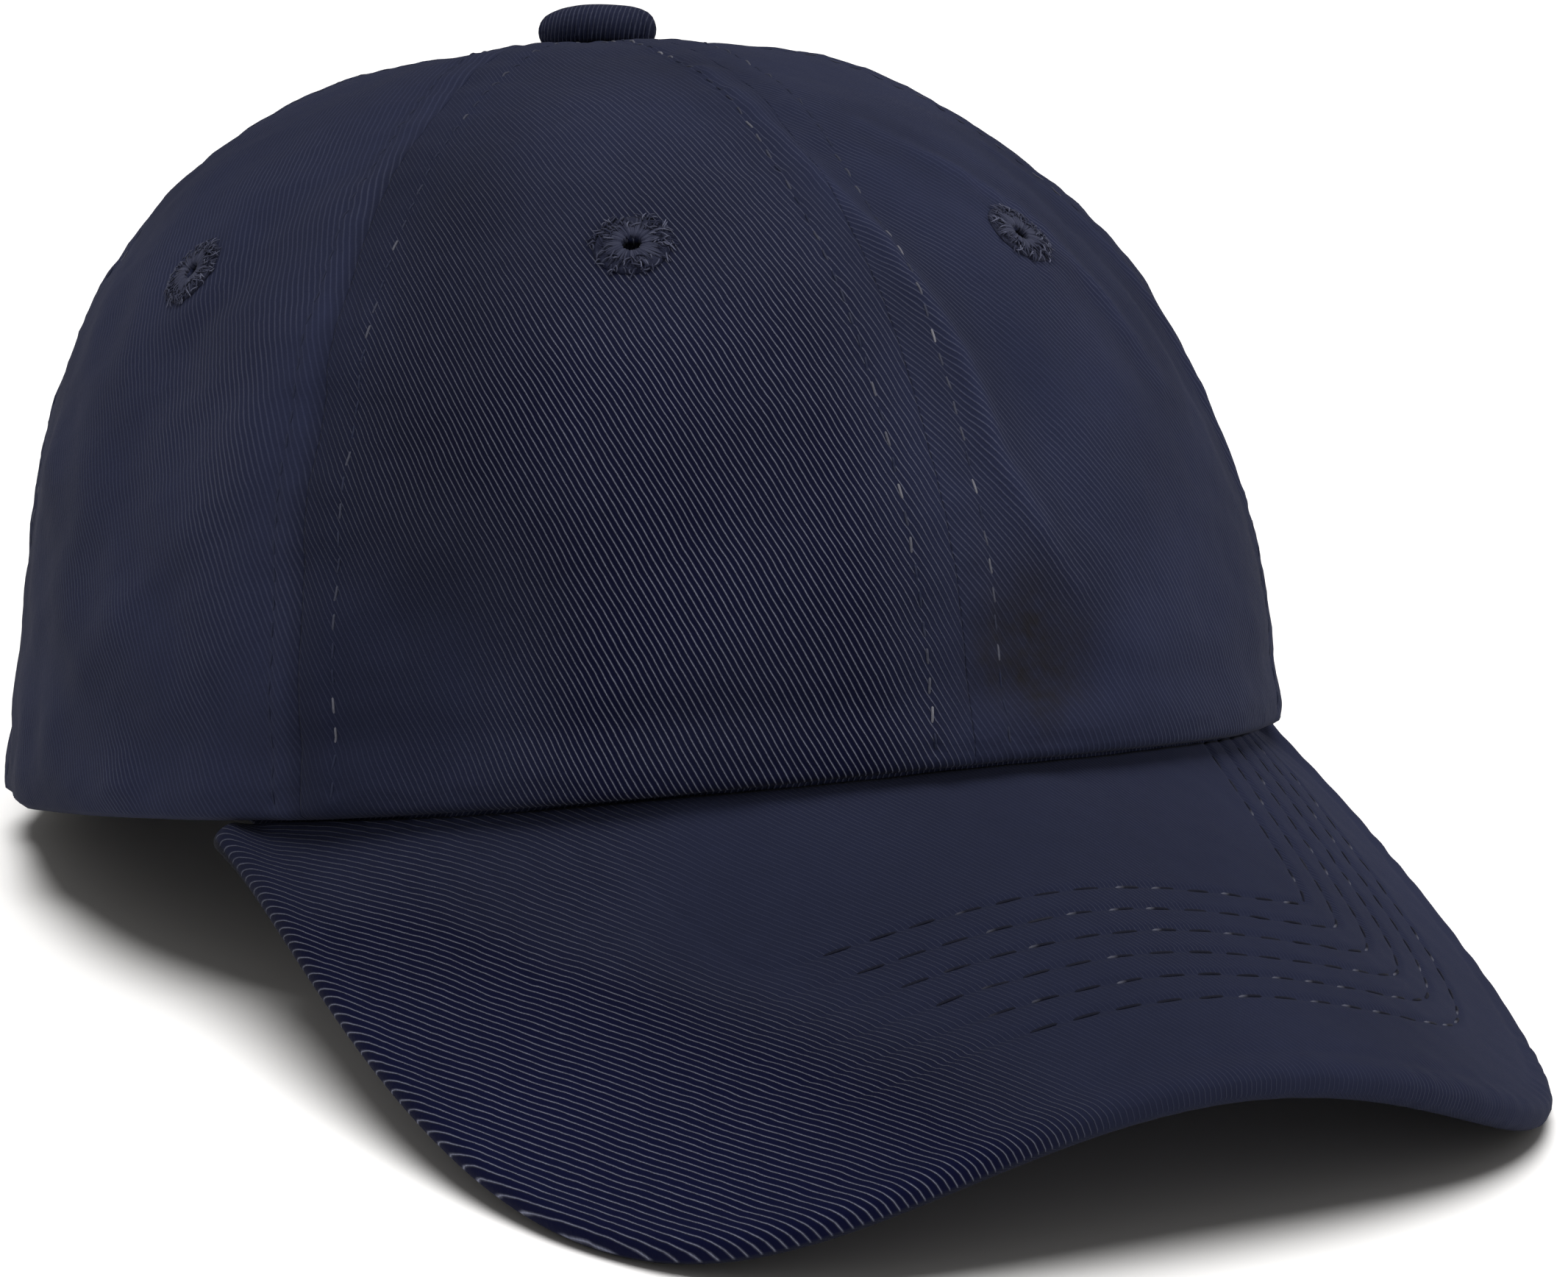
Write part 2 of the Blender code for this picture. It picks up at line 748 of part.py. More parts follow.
def main():
    clear_scene()
    parts = new_collection("baseball_cap")
    cutters = new_collection("cutters")
    root = bpy.data.objects.new("cap_root", None)
    parts.objects.link(root)

    twill = new_material("navy_twill", NAVY, 0.85)
    lining = new_material("lining_tape", INNER_CLOTH, 0.9)
    thread = new_material("eyelet_thread", DARK_NAVY, 0.7)
    mesh_cloth = new_material("buckram_mesh", WHITE_MESH, 0.9)
    plastic = new_material("visor_plastic", BOARD_PLASTIC, 0.5)
    metal = new_material("buckle_metal", METAL, 0.35, 1.0)

    def keep(item, material):
        return link(item, material, parts, root)

    def guide(make, name):
        return helper(make, name, cutters, root)

    panels = make_panels(keep, twill, mesh_cloth)
    centre_tape = make_lining(keep, lining, twill)
    arch = guide(arch_cutter, "arch_cutter")
    back_panels = [panels[f"back_panel_{side}"] for side, _ in sides()]
    for panel in back_panels:
        boolean(panel, arch)
    make_eyelets(keep, guide, panels, thread)
    make_button(keep, guide, centre_tape, twill, metal)
    covers = make_visor(keep, twill, plastic)
    make_closure(keep, guide, twill, metal)

    # Stand it on the floor, and flatten it there.
    stand_up(root, [item for item in parts.objects if item.type == "MESH"])
    floor = helper(floor_cutter, "floor_cutter", cutters, None)
    for item in back_panels + covers:
        boolean(item, floor)


main()
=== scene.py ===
"""The looks of the baseball cap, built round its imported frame.

Shapes are worked out in the crown's own frame, whose z = 0 is the hem plane and whose apex is on +Z, and
to_row() places them in the row frame. Lengths are in metres.
"""

import json
import math

import bmesh
import bpy
import numpy as np
from mathutils import Matrix, Vector

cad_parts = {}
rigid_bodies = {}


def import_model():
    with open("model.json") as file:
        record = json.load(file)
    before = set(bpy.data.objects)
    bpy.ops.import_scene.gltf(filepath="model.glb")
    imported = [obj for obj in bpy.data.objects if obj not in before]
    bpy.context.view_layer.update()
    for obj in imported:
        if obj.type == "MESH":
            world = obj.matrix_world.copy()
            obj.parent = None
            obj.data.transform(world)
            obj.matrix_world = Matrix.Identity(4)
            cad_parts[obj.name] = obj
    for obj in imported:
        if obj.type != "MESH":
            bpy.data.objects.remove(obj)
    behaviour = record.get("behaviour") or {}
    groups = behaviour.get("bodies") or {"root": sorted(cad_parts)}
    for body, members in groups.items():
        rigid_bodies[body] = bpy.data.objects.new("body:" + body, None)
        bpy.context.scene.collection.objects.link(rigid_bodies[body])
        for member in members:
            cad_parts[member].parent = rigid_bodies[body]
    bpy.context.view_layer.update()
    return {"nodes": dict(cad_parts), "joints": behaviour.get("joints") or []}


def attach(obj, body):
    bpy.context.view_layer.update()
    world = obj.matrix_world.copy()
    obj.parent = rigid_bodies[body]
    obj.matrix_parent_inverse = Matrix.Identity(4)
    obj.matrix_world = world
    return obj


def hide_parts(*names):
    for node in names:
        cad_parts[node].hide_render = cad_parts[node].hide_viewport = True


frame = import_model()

MM = 0.001

# The crown, as in the CAD.
HALF_WIDTH = 84 * MM
HALF_LENGTH = 101 * MM
CROWN_HEIGHT = 98.7 * MM
FRONT_POWER = 2.05
BACK_POWER = 2.7
FRONT_ARCH = 4.9 * MM
FRONT_ARCH_SPREAD = math.radians(50)
FRONT_SEAM = math.radians(53)
BACK_SEAM = math.radians(113)
TIP_RADIUS = 2.3 * MM
ARCH_HALF_WIDTH = 36 * MM
ARCH_HEIGHT = 56 * MM
SWEATBAND_INSET = 5.6 * MM
SWEATBAND_HEIGHT = 32 * MM
SWEATBAND_END = math.radians(147)
SWEATBAND_THICKNESS = 0.8 * MM
SWEATBAND_ROWS = (2.6 * MM, 28.5 * MM)
SWEATBAND_PUCKERS = 87.963
HEM_INSET = 2.9 * MM

# Each gore's eyelet: the crown's angle and ratio.
EYELETS = {
    "front": (math.radians(24), 0.765),
    "side": (math.radians(77), 0.79),
    "back": (math.radians(147), 0.77),
}
EYELET_HOLE = 2.1 * MM

# The wearer's sides, with the sign of x there.
SIDES = (("left", 1), ("right", -1))

# The visor, as in the CAD.
VISOR_HALF_ANGLE = math.radians(60.8)
VISOR_CENTRE_Y = -49.6 * MM
VISOR_HALF_WIDTH = 77.7 * MM
VISOR_TAPER = -3.6 * MM
VISOR_REACH = 110.0 * MM
VISOR_REACH_ROUND = 5.7 * MM
VISOR_SIDE_Z = 1.2 * MM
VISOR_DROP = 68.2 * MM
VISOR_MIDDLE_RISE = 43.9 * MM
VISOR_TUCK = 3.0 * MM
VISOR_CROWN_GAP = 0.6 * MM
VISOR_RIM = 2.0 * MM
VISOR_SPAN = 0.9985
VISOR_CLOTH = 0.7 * MM
UNDER_DEPTH = 3.28 * MM

# The strap and the buckle, as in the CAD.
STRAP_RADIUS = 72 * MM
STRAP_AXIS_Y = 25.2 * MM
STRAP_THICKNESS = 1.5 * MM
STRAP_HEIGHT = 18 * MM
STRAP_MIDDLE_Z = 14 * MM
STRAP_STITCH = 2.2 * MM
STRAP_SEWN_END = math.radians(-45)
STRAP_FREE_END = math.radians(42)
BUCKLE_ANGLE = math.radians(15)
BUCKLE_TOP = 10.4 * MM
LEVER_TOP = 9.2 * MM

# Sewing. SEAM_STITCH is how far a row lies from its seam, VISOR_ROWS how far from the visor's edge.
CLOTH = 1.0 * MM
HEM_THICKNESS = 2.4 * MM
SEAM_STITCH = 4.8 * MM
STITCH_PITCH = 3.3 * MM
STITCH_LENGTH = 2.5 * MM
VISOR_ROWS = [(14.6 + 4.3 * number) * MM for number in range(6)]
VISOR_PITCH = 5.0 * MM
VISOR_STITCH = 4.1 * MM

# How the sewing raises and sinks the panels' cloth.
ALLOWANCE_WIDTH = 5.3 * MM
ALLOWANCE_FADE = 0.9 * MM
ALLOWANCE_RISE = 0.34 * MM
DITCH_DEPTH = 0.13 * MM
DIMPLE_DEPTH = 0.34 * MM
PUCKER_HEIGHT = 0.085 * MM
PUCKER_PITCH = 7.3 * MM
HEM_ROLL = 0.30 * MM
HEM_GROOVE = 0.28 * MM
EYELET_PULL = 0.25 * MM

# The lining.
BUCKRAM_INSET = 1.5 * MM
BUCKRAM_THICKNESS = 0.45 * MM
TAPE_INSET = 2.3 * MM
TAPE_THICKNESS = 0.5 * MM
TAPE_WIDTH = 15 * MM
TAPE_COLUMNS = 31
TAPE_STITCH_COLUMNS = (5, 25)

# Farther than anything on the cap.
FAR = 1.0

# Camera.
VIEW_AZIMUTH = math.radians(-25.59)
VIEW_ELEVATION = math.radians(12.98)
VIEW_ROLL = math.radians(1.45)
VIEW_DISTANCE = 0.478
VIEW_TARGET = Vector((0.0185, 0.0167, 0.0317))
VIEW_LENS = 78.25

strap_joint = next(joint for joint in frame["joints"] if joint["name"] == "strap_feed")
UP = np.array(strap_joint["axis"])
UP /= np.linalg.norm(UP)
ACROSS = np.array((1.0, 0.0, 0.0))
TURN = np.column_stack((ACROSS, np.cross(UP, ACROSS), UP))
ORIGIN = np.array(strap_joint["pos_m"]) - TURN @ np.array((0, STRAP_AXIS_Y, STRAP_MIDDLE_Z))


def to_row(points):
    """Points of the crown's frame in the row frame."""
    return points @ TURN.T + ORIGIN


# Numbers along curves


def smooth(low, high, value):
    """0 at low and before, 1 at high and beyond."""
    share = np.clip((value - low) / (high - low), 0, 1)
    return share * share * (3 - 2 * share)


def bell(distance, width):
    """1 at no distance, fading either way over this width."""
    return np.exp(-((distance / width) ** 2))


def unit(vectors):
    return vectors / np.maximum(np.linalg.norm(vectors, axis=-1, keepdims=True), 1e-12)


def together(*parts):
    """Arrays of matching shapes as the coordinates of one array."""
    return np.stack(np.broadcast_arrays(*parts), axis=-1)


def full_turn(steps):
    return np.arange(steps) * 2 * math.pi / steps


def travelled(points):
    """How far along a line of points each of them lies."""
    return np.concatenate(([0], np.cumsum(np.linalg.norm(np.diff(points, axis=0), axis=1))))


def swell(points, wavelength, seed, waves=9):
    """Smooth random bumps of about this wavelength, mostly between -1 and 1."""
    chance = np.random.default_rng(seed)
    total = np.zeros(points.shape[:-1])
    for _ in range(waves):
        direction = unit(chance.normal(size=3))
        length = wavelength * chance.uniform(0.7, 1.6)
        total += np.sin(points @ direction * (2 * math.pi / length) + chance.uniform(0, 2 * math.pi))
    return total / math.sqrt(waves)


def roll(distance, radius):
    """How far a rounded edge has dropped, at this distance in from it."""
    inside = np.clip(radius - distance, 0, radius)
    return radius - np.sqrt(radius**2 - inside**2)


def crowded(count, ends=0.6):
    """Steps from 0 to 1 that lie closer together near both ends."""
    even = np.linspace(0, 1, count)
    return even - ends * np.sin(2 * math.pi * even) / (2 * math.pi)


def grid_normals(points):
    along = np.gradient(points, axis=0)
    across = np.gradient(points, axis=1)
    return unit(np.cross(across, along))


def nearest(points, curve):
    """Each point's distance to a dense curve, and how far along the curve that is, from 0 to 1."""
    flat = points.reshape(-1, 3)
    distance = np.empty(len(flat))
    where = np.empty(len(flat))
    for start in range(0, len(flat), 4000):
        block = flat[start : start + 4000]
        gaps = np.linalg.norm(block[:, None] - curve[None], axis=2)
        best = gaps.argmin(axis=1)
        distance[start : start + 4000] = gaps[np.arange(len(block)), best]
        where[start : start + 4000] = best / (len(curve) - 1)
    return distance.reshape(points.shape[:-1]), where.reshape(points.shape[:-1])


# The crown's surface


def crown_power(angle):
    towards_front = (1 + np.cos(angle)) / 2
    return BACK_POWER + (FRONT_POWER - BACK_POWER) * towards_front


def hem_height(angle):
    turned = np.arctan2(np.sin(angle), np.cos(angle))
    return FRONT_ARCH * bell(turned, FRONT_ARCH_SPREAD)


def crown_point(ratio, angle, inset=0.0):
    """The crown at this angle from the front, and this share of the way out from the apex to the hem."""
    power = crown_power(angle)
    hem = hem_height(angle)
    share = np.maximum(0, 1 - ratio**power) ** (1 / power)
    x = (HALF_WIDTH - inset) * ratio * np.sin(angle)
    y = -(HALF_LENGTH - inset) * ratio * np.cos(angle)
    return together(x, y, hem + (CROWN_HEIGHT - inset - hem) * share)


def crown_ratio_at(height, angle, inset=0.0):
    """The ratio at which the crown has this height."""
    power = crown_power(angle)
    hem = hem_height(angle)
    share = np.clip((height - hem) / (CROWN_HEIGHT - inset - hem), 0, 1)
    return (1 - share**power) ** (1 / power)


def crown_normal(ratio, angle):
    step = 0.001
    up = crown_point(ratio - step, angle) - crown_point(ratio + step, angle)
    sideways = crown_point(ratio, angle + step) - crown_point(ratio, angle - step)
    return unit(np.cross(sideways, up))


def ratio_along(share, tip_radius=TIP_RADIUS):
    """Ratios from the hem towards the apex, in steps that are about even along the cloth."""
    tip = math.asin(tip_radius / HALF_WIDTH)
    return np.sin(math.pi / 2 + (tip - math.pi / 2) * share)


def local_radius(angle):
    return np.hypot(HALF_WIDTH * np.cos(angle), HALF_LENGTH * np.sin(angle))


def crown_curve(stops, count=160):
    """A dense curve on the crown through stops of (angle in degrees, height in mm)."""
    stops = np.array(stops, float)
    place = np.linspace(0, len(stops) - 1, count)
    angle = np.radians(np.interp(place, range(len(stops)), stops[:, 0]))
    height = np.interp(place, range(len(stops)), stops[:, 1]) * MM
    return crown_point(crown_ratio_at(height, angle), angle)


def bearing(points):
    """The side on which points lie, in degrees: 0 in front, 90 at the wearer's left."""
    return np.degrees(np.arctan2(points[..., 0], -points[..., 1]))


def from_spot(points, angle, height):
    """Distance from a spot on the crown, given as an angle in degrees and a height."""
    angle = math.radians(angle)
    return np.linalg.norm(points - crown_point(crown_ratio_at(height, angle), angle), axis=-1)


def arch_angle(x, z, inset=0.0):
    """The crown's angle at points this far across and up the rear opening."""
    angle = math.pi * np.ones_like(x)
    for _ in range(14):
        width = (HALF_WIDTH - inset) * crown_ratio_at(z, angle, inset)
        angle = math.pi - np.arcsin(np.clip(x / width, -1, 1))
    return angle


# Soft folds that the crown has taken: stops, then width and height in mm.
FOLDS = (
    (((-6, 90), (-1.5, 79), (3, 66), (6, 52), (6.5, 40), (9, 31), (12, 24)), 1.8, 1.05),
    (((-3, 88), (4, 76), (9, 64), (12, 50), (12.5, 38), (16, 26)), 4.5, -1.0),
    (((14, 82), (21, 76), (29, 69), (33, 58), (35.5, 48)), 2.0, 0.85),
    (((22, 74), (30, 60), (34, 44), (40, 26)), 6.0, -0.5),
    (((41, 80), (46, 66), (48, 50), (49, 34), (50, 24)), 1.6, 0.9),
    (((36, 82), (41, 66), (43.5, 50), (45, 34)), 2.4, -0.45),
    (((-38, 84), (-44, 68), (-47, 48)), 5.0, 0.5),
    (((-68, 74), (-72, 52), (-76, 30)), 9.0, -0.7),
    (((-92, 70), (-98, 48), (-104, 24)), 9.0, 0.7),
    (((70, 76), (76, 50), (84, 26)), 9.0, 0.8),
    (((98, 72), (100, 50), (96, 28)), 8.0, -0.8),
    (((150, 84), (142, 66), (136, 40)), 8.0, 0.6),
    (((-150, 84), (-140, 62), (-134, 38)), 8.0, 0.7),
)
DENT = (6.5, 17.5 * MM)

# Round hollows and bulges: spot, width, height.
BUMPS = (
    (DENT, 7.5 * MM, -1.3 * MM),
    ((-100, 27 * MM), 32 * MM, -1.3 * MM),
    ((-105, 80 * MM), 28 * MM, 1.2 * MM),
)

# The hem stands out and hangs lower here, at the wearer's right towards the back.
FLARE = 2.2 * MM
FLARE_BEARING = -112
SAG_BEARING = -110
TOP_SINK = 1.1 * MM


def crown_relief(points):
    """The slow bumps of worn cloth: soft folds, a shallow dent and a slightly faceted side."""
    height = 0.30 * MM * swell(points, 34 * MM, 3) + 0.10 * MM * swell(points, 11 * MM, 5)
    for stops, width, amount in FOLDS:
        distance, where = nearest(points, crown_curve(stops))
        fade = np.sin(math.pi * np.clip(where, 0.06, 0.94)) ** 0.7
        height += amount * MM * bell(distance, width * MM) * fade
    for spot, width, amount in BUMPS:
        height += amount * bell(from_spot(points, *spot), width)
    wearers_right = smooth(-0.3, -0.8, points[..., 0] / HALF_WIDTH)
    height += 0.35 * MM * wearers_right * swell(points, 16 * MM, 8)
    height += FLARE * bell(bearing(points) - FLARE_BEARING, 32) * smooth(30 * MM, 2 * MM, points[..., 2])
    near_top = smooth(34 * MM, 6 * MM, np.hypot(points[..., 0], points[..., 1]))
    return height * (1 - near_top) - TOP_SINK * near_top


# Meshes


def build(name, points, faces, flat=None, **fields):
    """A mesh object from points of the crown's frame. flat holds each point's place on the cut cloth."""
    mesh = bpy.data.meshes.new(name)
    placed = to_row(points)
    # Nothing hangs below the floor.
    placed[:, 2] = np.maximum(placed[:, 2], 0.02 * MM)
    mesh.from_pydata(placed.tolist(), [], faces)
    mesh.update()
    mesh.shade_smooth()
    if flat is not None:
        corners = np.empty(len(mesh.loops), np.int32)
        mesh.loops.foreach_get("vertex_index", corners)
        layer = mesh.uv_layers.new(name="weave")
        layer.data.foreach_set("uv", flat[corners].astype(np.float32).ravel())
    for field, values in fields.items():
        attribute = mesh.attributes.new(field, "FLOAT", "POINT")
        attribute.data.foreach_set("value", np.asarray(values, np.float32).ravel())
    item = bpy.data.objects.new(name, mesh)
    bpy.context.scene.collection.objects.link(item)
    return item


def shell(name, outer, inner, flat, keep=None, **fields):
    """A closed skin between two grids of points. keep marks the cells that are cloth."""
    rows, columns = outer.shape[:2]
    if keep is None:
        keep = np.ones((rows - 1, columns - 1), bool)
    index = np.arange(rows * columns).reshape(rows, columns)
    corners = together(index[:-1, :-1], index[:-1, 1:], index[1:, 1:], index[1:, :-1])
    count = rows * columns
    faces = [corners[keep], corners[keep][:, ::-1] + count]
    padded = np.pad(keep, 1)
    for down, right, first, second in ((-1, 0, 0, 1), (0, 1, 1, 2), (1, 0, 2, 3), (0, -1, 3, 0)):
        beside = padded[1 + down : rows + down, 1 + right : columns + right]
        edge = corners[keep & ~beside]
        near, far = edge[:, first], edge[:, second]
        faces.append(together(far, near, near + count, far + count))
    faces = np.concatenate(faces)
    used, compact = np.unique(faces, return_inverse=True)
    points = np.concatenate((outer.reshape(-1, 3), inner.reshape(-1, 3)))[used]
    flat = np.concatenate((flat.reshape(-1, 2), flat.reshape(-1, 2)))[used]
    fields = {key: np.tile(np.ravel(value), 2)[used] for key, value in fields.items()}
    return build(name, points, compact.reshape(faces.shape).tolist(), flat, **fields)


def tubes(paths, ups, across, high, sides):
    """Closed threads along many paths at once: paths and ups are (count, steps, 3)."""
    count, steps = paths.shape[:2]
    forward = unit(np.gradient(paths, axis=1))
    side = unit(np.cross(forward, ups))
    lift = np.cross(side, forward)
    turn = full_turn(sides)
    across = np.broadcast_to(across, (count, steps))[..., None, None]
    high = np.broadcast_to(high, (count, steps))[..., None, None]
    ring = side[:, :, None] * np.cos(turn)[:, None] * across
    ring = ring + lift[:, :, None] * np.sin(turn)[:, None] * high
    points = (paths[:, :, None] + ring).reshape(-1, 3)
    base = (np.arange(count) * steps * sides)[:, None, None]
    here = base + (np.arange(steps - 1) * sides)[None, :, None]
    beyond = here + sides
    slot = np.arange(sides)[None, None]
    after = (slot + 1) % sides
    walls = together(here + slot, here + after, beyond + after, beyond + slot).reshape(-1, 4)
    caps = []
    for start in base.ravel():
        caps.append([int(start + k) for k in range(sides)])
        caps.append([int(start + steps * sides - 1 - k) for k in range(sides)])
    return points, walls[:, ::-1].tolist() + caps


def closed_ring(points):
    """Faces for a grid that is closed both ways: (profile, turn, 3)."""
    rows, columns = points.shape[:2]
    index = np.arange(rows * columns).reshape(rows, columns)
    below = np.roll(index, -1, axis=0)
    faces = together(index, np.roll(index, -1, axis=1), np.roll(below, -1, axis=1), below)
    return points.reshape(-1, 3), faces.reshape(-1, 4).tolist()


def lathe(profile, steps=40):
    """A closed profile of (radius, height) in mm turned about z, as (points, faces)."""
    radius, height = (np.array(profile) * MM).T[..., None]
    turn = full_turn(steps)
    return closed_ring(together(radius * np.cos(turn), radius * np.sin(turn), height))


def joined(parts):
    """Several (points, faces) as one."""
    points, faces, total = [], [], 0
    for more, polygons in parts:
        points.append(more)
        faces += [[corner + total for corner in polygon] for polygon in polygons]
        total += len(more)
    return np.concatenate(points), faces


def along_line(place, stops, values):
    """Reads points or directions, known at stops along a line, at other places on it."""
    return together(*(np.interp(place, stops, values[:, k]) for k in range(3)))


def stitch_paths(points, normals, pitch, length, lift, sink, seed, steps=6):
    """Where each stitch of a row lies: it dips into the cloth at both ends."""
    chance = np.random.default_rng(seed)
    along = travelled(points)
    starts = np.arange(pitch * 0.2, along[-1] - length, pitch)
    starts = starts + chance.uniform(-0.05, 0.05, len(starts)) * pitch
    share = np.linspace(0, 1, steps)
    place = starts[:, None] + length * share
    middle = along_line(place, along, points)
    up = unit(along_line(place, along, normals))
    side = unit(np.cross(up[:, 0], middle[:, -1] - middle[:, 0]))
    skew = chance.uniform(-0.14, 0.14, len(starts))[:, None, None] * MM
    middle = middle + side[:, None] * skew * (2 * share - 1)[None, :, None]
    bow = lift - (lift + sink) * (2 * share - 1) ** 4
    return middle + up * bow[None, :, None], up


THREAD_SIDES = 6
EYELET_SIDES = 5


def thread_row(rows, radius, pitch, length, lift, sink, seed, pale_ends=False):
    """Stitches along several rows of (points, normals), as (points, faces, tone)."""
    made, tones = [], []
    chance = np.random.default_rng(seed)
    taper = np.array((0.55, 0.95, 1.0, 1.0, 0.95, 0.55))
    for number, (points, normals) in enumerate(rows):
        if len(points) < 3:
            continue
        paths, ups = stitch_paths(points, normals, pitch, length, lift, sink, seed + 31 * number)
        if not len(paths):
            continue
        made.append(tubes(paths, ups, radius * taper, radius * 0.8 * taper, THREAD_SIDES))
        drift = 0.5 + 0.5 * np.sin(np.linspace(0, 9, len(paths)) + chance.uniform(0, 6))
        tone = chance.uniform(0, 1, len(paths)) ** 3 * (0.25 + 0.75 * drift)
        tone = np.repeat(tone[:, None], len(taper), axis=1)
        if pale_ends:
            # On the visor most stitches are painted dark, as painted shade of the grooves they sit in, and
            # about a third get pale ends.
            picked = chance.uniform(0, 1, len(paths)) < 0.35
            fresh = smooth(-24 * MM, -4 * MM, paths[:, 0, 0])
            tone = tone * 0.12 * fresh[:, None]
            tone[:, :2] += (0.9 * picked * fresh)[:, None]
        tones.append(np.repeat(tone.ravel(), THREAD_SIDES))
    points, faces = joined(made)
    return points, faces, np.concatenate(tones)


def on_grid(grid, row, column):
    """Reads a grid between its points."""
    low_row = np.clip(np.floor(row).astype(int), 0, grid.shape[0] - 2)
    low_column = np.clip(np.floor(column).astype(int), 0, grid.shape[1] - 2)
    down = (row - low_row)[..., None]
    right = (column - low_column)[..., None]
    top = grid[low_row, low_column] * (1 - right) + grid[low_row, low_column + 1] * right
    bottom = grid[low_row + 1, low_column] * (1 - right) + grid[low_row + 1, low_column + 1] * right
    return top * (1 - down) + bottom * down


# Materials


class Shader:
    """Short hand for one material's node tree."""

    def __init__(self, name, roughness, metallic=0.0, specular=0.3, sheen=0.0):
        self.material = bpy.data.materials.new(name)
        self.material.use_nodes = True
        self.tree = self.material.node_tree
        self.surface = self.tree.nodes["Principled BSDF"]
        self.set(self.surface, Roughness=roughness, Metallic=metallic)
        self.surface.inputs["Specular IOR Level"].default_value = specular
        self.surface.inputs["Sheen Weight"].default_value = sheen

    def put(self, socket, value):
        if isinstance(value, bpy.types.NodeSocket):
            self.tree.links.new(value, socket)
        else:
            socket.default_value = value

    def set(self, node, **values):
        for name, value in values.items():
            self.put(node.inputs[name], value)

    def node(self, kind, **values):
        made = self.tree.nodes.new(kind)
        self.set(made, **values)
        return made

    def math(self, operation, first, second=0.0, clamp=False):
        made = self.tree.nodes.new("ShaderNodeMath")
        made.operation = operation
        made.use_clamp = clamp
        self.put(made.inputs[0], first)
        self.put(made.inputs[1], second)
        return made.outputs[0]

    def times(self, first, second, clamp=False):
        return self.math("MULTIPLY", first, second, clamp)

    def plus(self, first, second):
        return self.math("ADD", first, second)

    def noise(self, where, scale, detail=2.0, rough=0.5):
        made = self.node("ShaderNodeTexNoise", Vector=where, Scale=scale, Detail=detail, Roughness=rough)
        return made.outputs["Fac"]

    def mix(self, share, first, second):
        made = self.tree.nodes.new("ShaderNodeMix")
        made.data_type = "RGBA"
        self.put(made.inputs["Factor"], share)
        self.put(made.inputs[6], first)
        self.put(made.inputs[7], second)
        return made.outputs[2]

    def scaled(self, colour, amount):
        made = self.tree.nodes.new("ShaderNodeVectorMath")
        made.operation = "SCALE"
        self.put(made.inputs[0], colour[:3] if isinstance(colour, tuple) else colour)
        self.put(made.inputs["Scale"], amount)
        return made.outputs[0]

    def between(self, value, low, high):
        """value from 0 to 1 becomes low to high."""
        return self.plus(self.times(value, high - low), low)

    def field(self, name):
        made = self.tree.nodes.new("ShaderNodeAttribute")
        made.attribute_name = name
        return made.outputs["Fac"]

    def weave_place(self):
        made = self.tree.nodes.new("ShaderNodeUVMap")
        made.uv_map = "weave"
        return made.outputs["UV"]

    def object_place(self):
        return self.tree.nodes.new("ShaderNodeTexCoord").outputs["Object"]

    def bump(self, height, distance):
        made = self.node("ShaderNodeBump", Height=height, Distance=distance)
        self.put(self.surface.inputs["Normal"], made.outputs["Normal"])

    def colour(self, value):
        self.put(self.surface.inputs["Base Color"], value)

    def rough(self, share, low, high):
        self.set(self.surface, Roughness=self.between(share, low, high))

    def stripes(self, place, lean, pitch, wobble=None):
        """Sine stripes, 0 to 1, that run at this angle from the cloth's u, and the place along them."""
        apart = self.tree.nodes.new("ShaderNodeSeparateXYZ")
        self.put(apart.inputs[0], place)
        u, v = apart.outputs[0], apart.outputs[1]
        sine, cosine = math.sin(lean), math.cos(lean)
        over = self.plus(self.times(u, -sine), self.times(v, cosine))
        along = self.plus(self.times(u, cosine), self.times(v, sine))
        if wobble is not None:
            over = self.plus(over, wobble)
        wave = self.math("SINE", self.times(over, 2 * math.pi / pitch))
        return self.between(wave, 0.5, 1.0), along


def rgb(red, green, blue):
    return (red, green, blue, 1.0)


def tinted(colour, amount):
    return rgb(*(part * amount for part in colour[:3]))


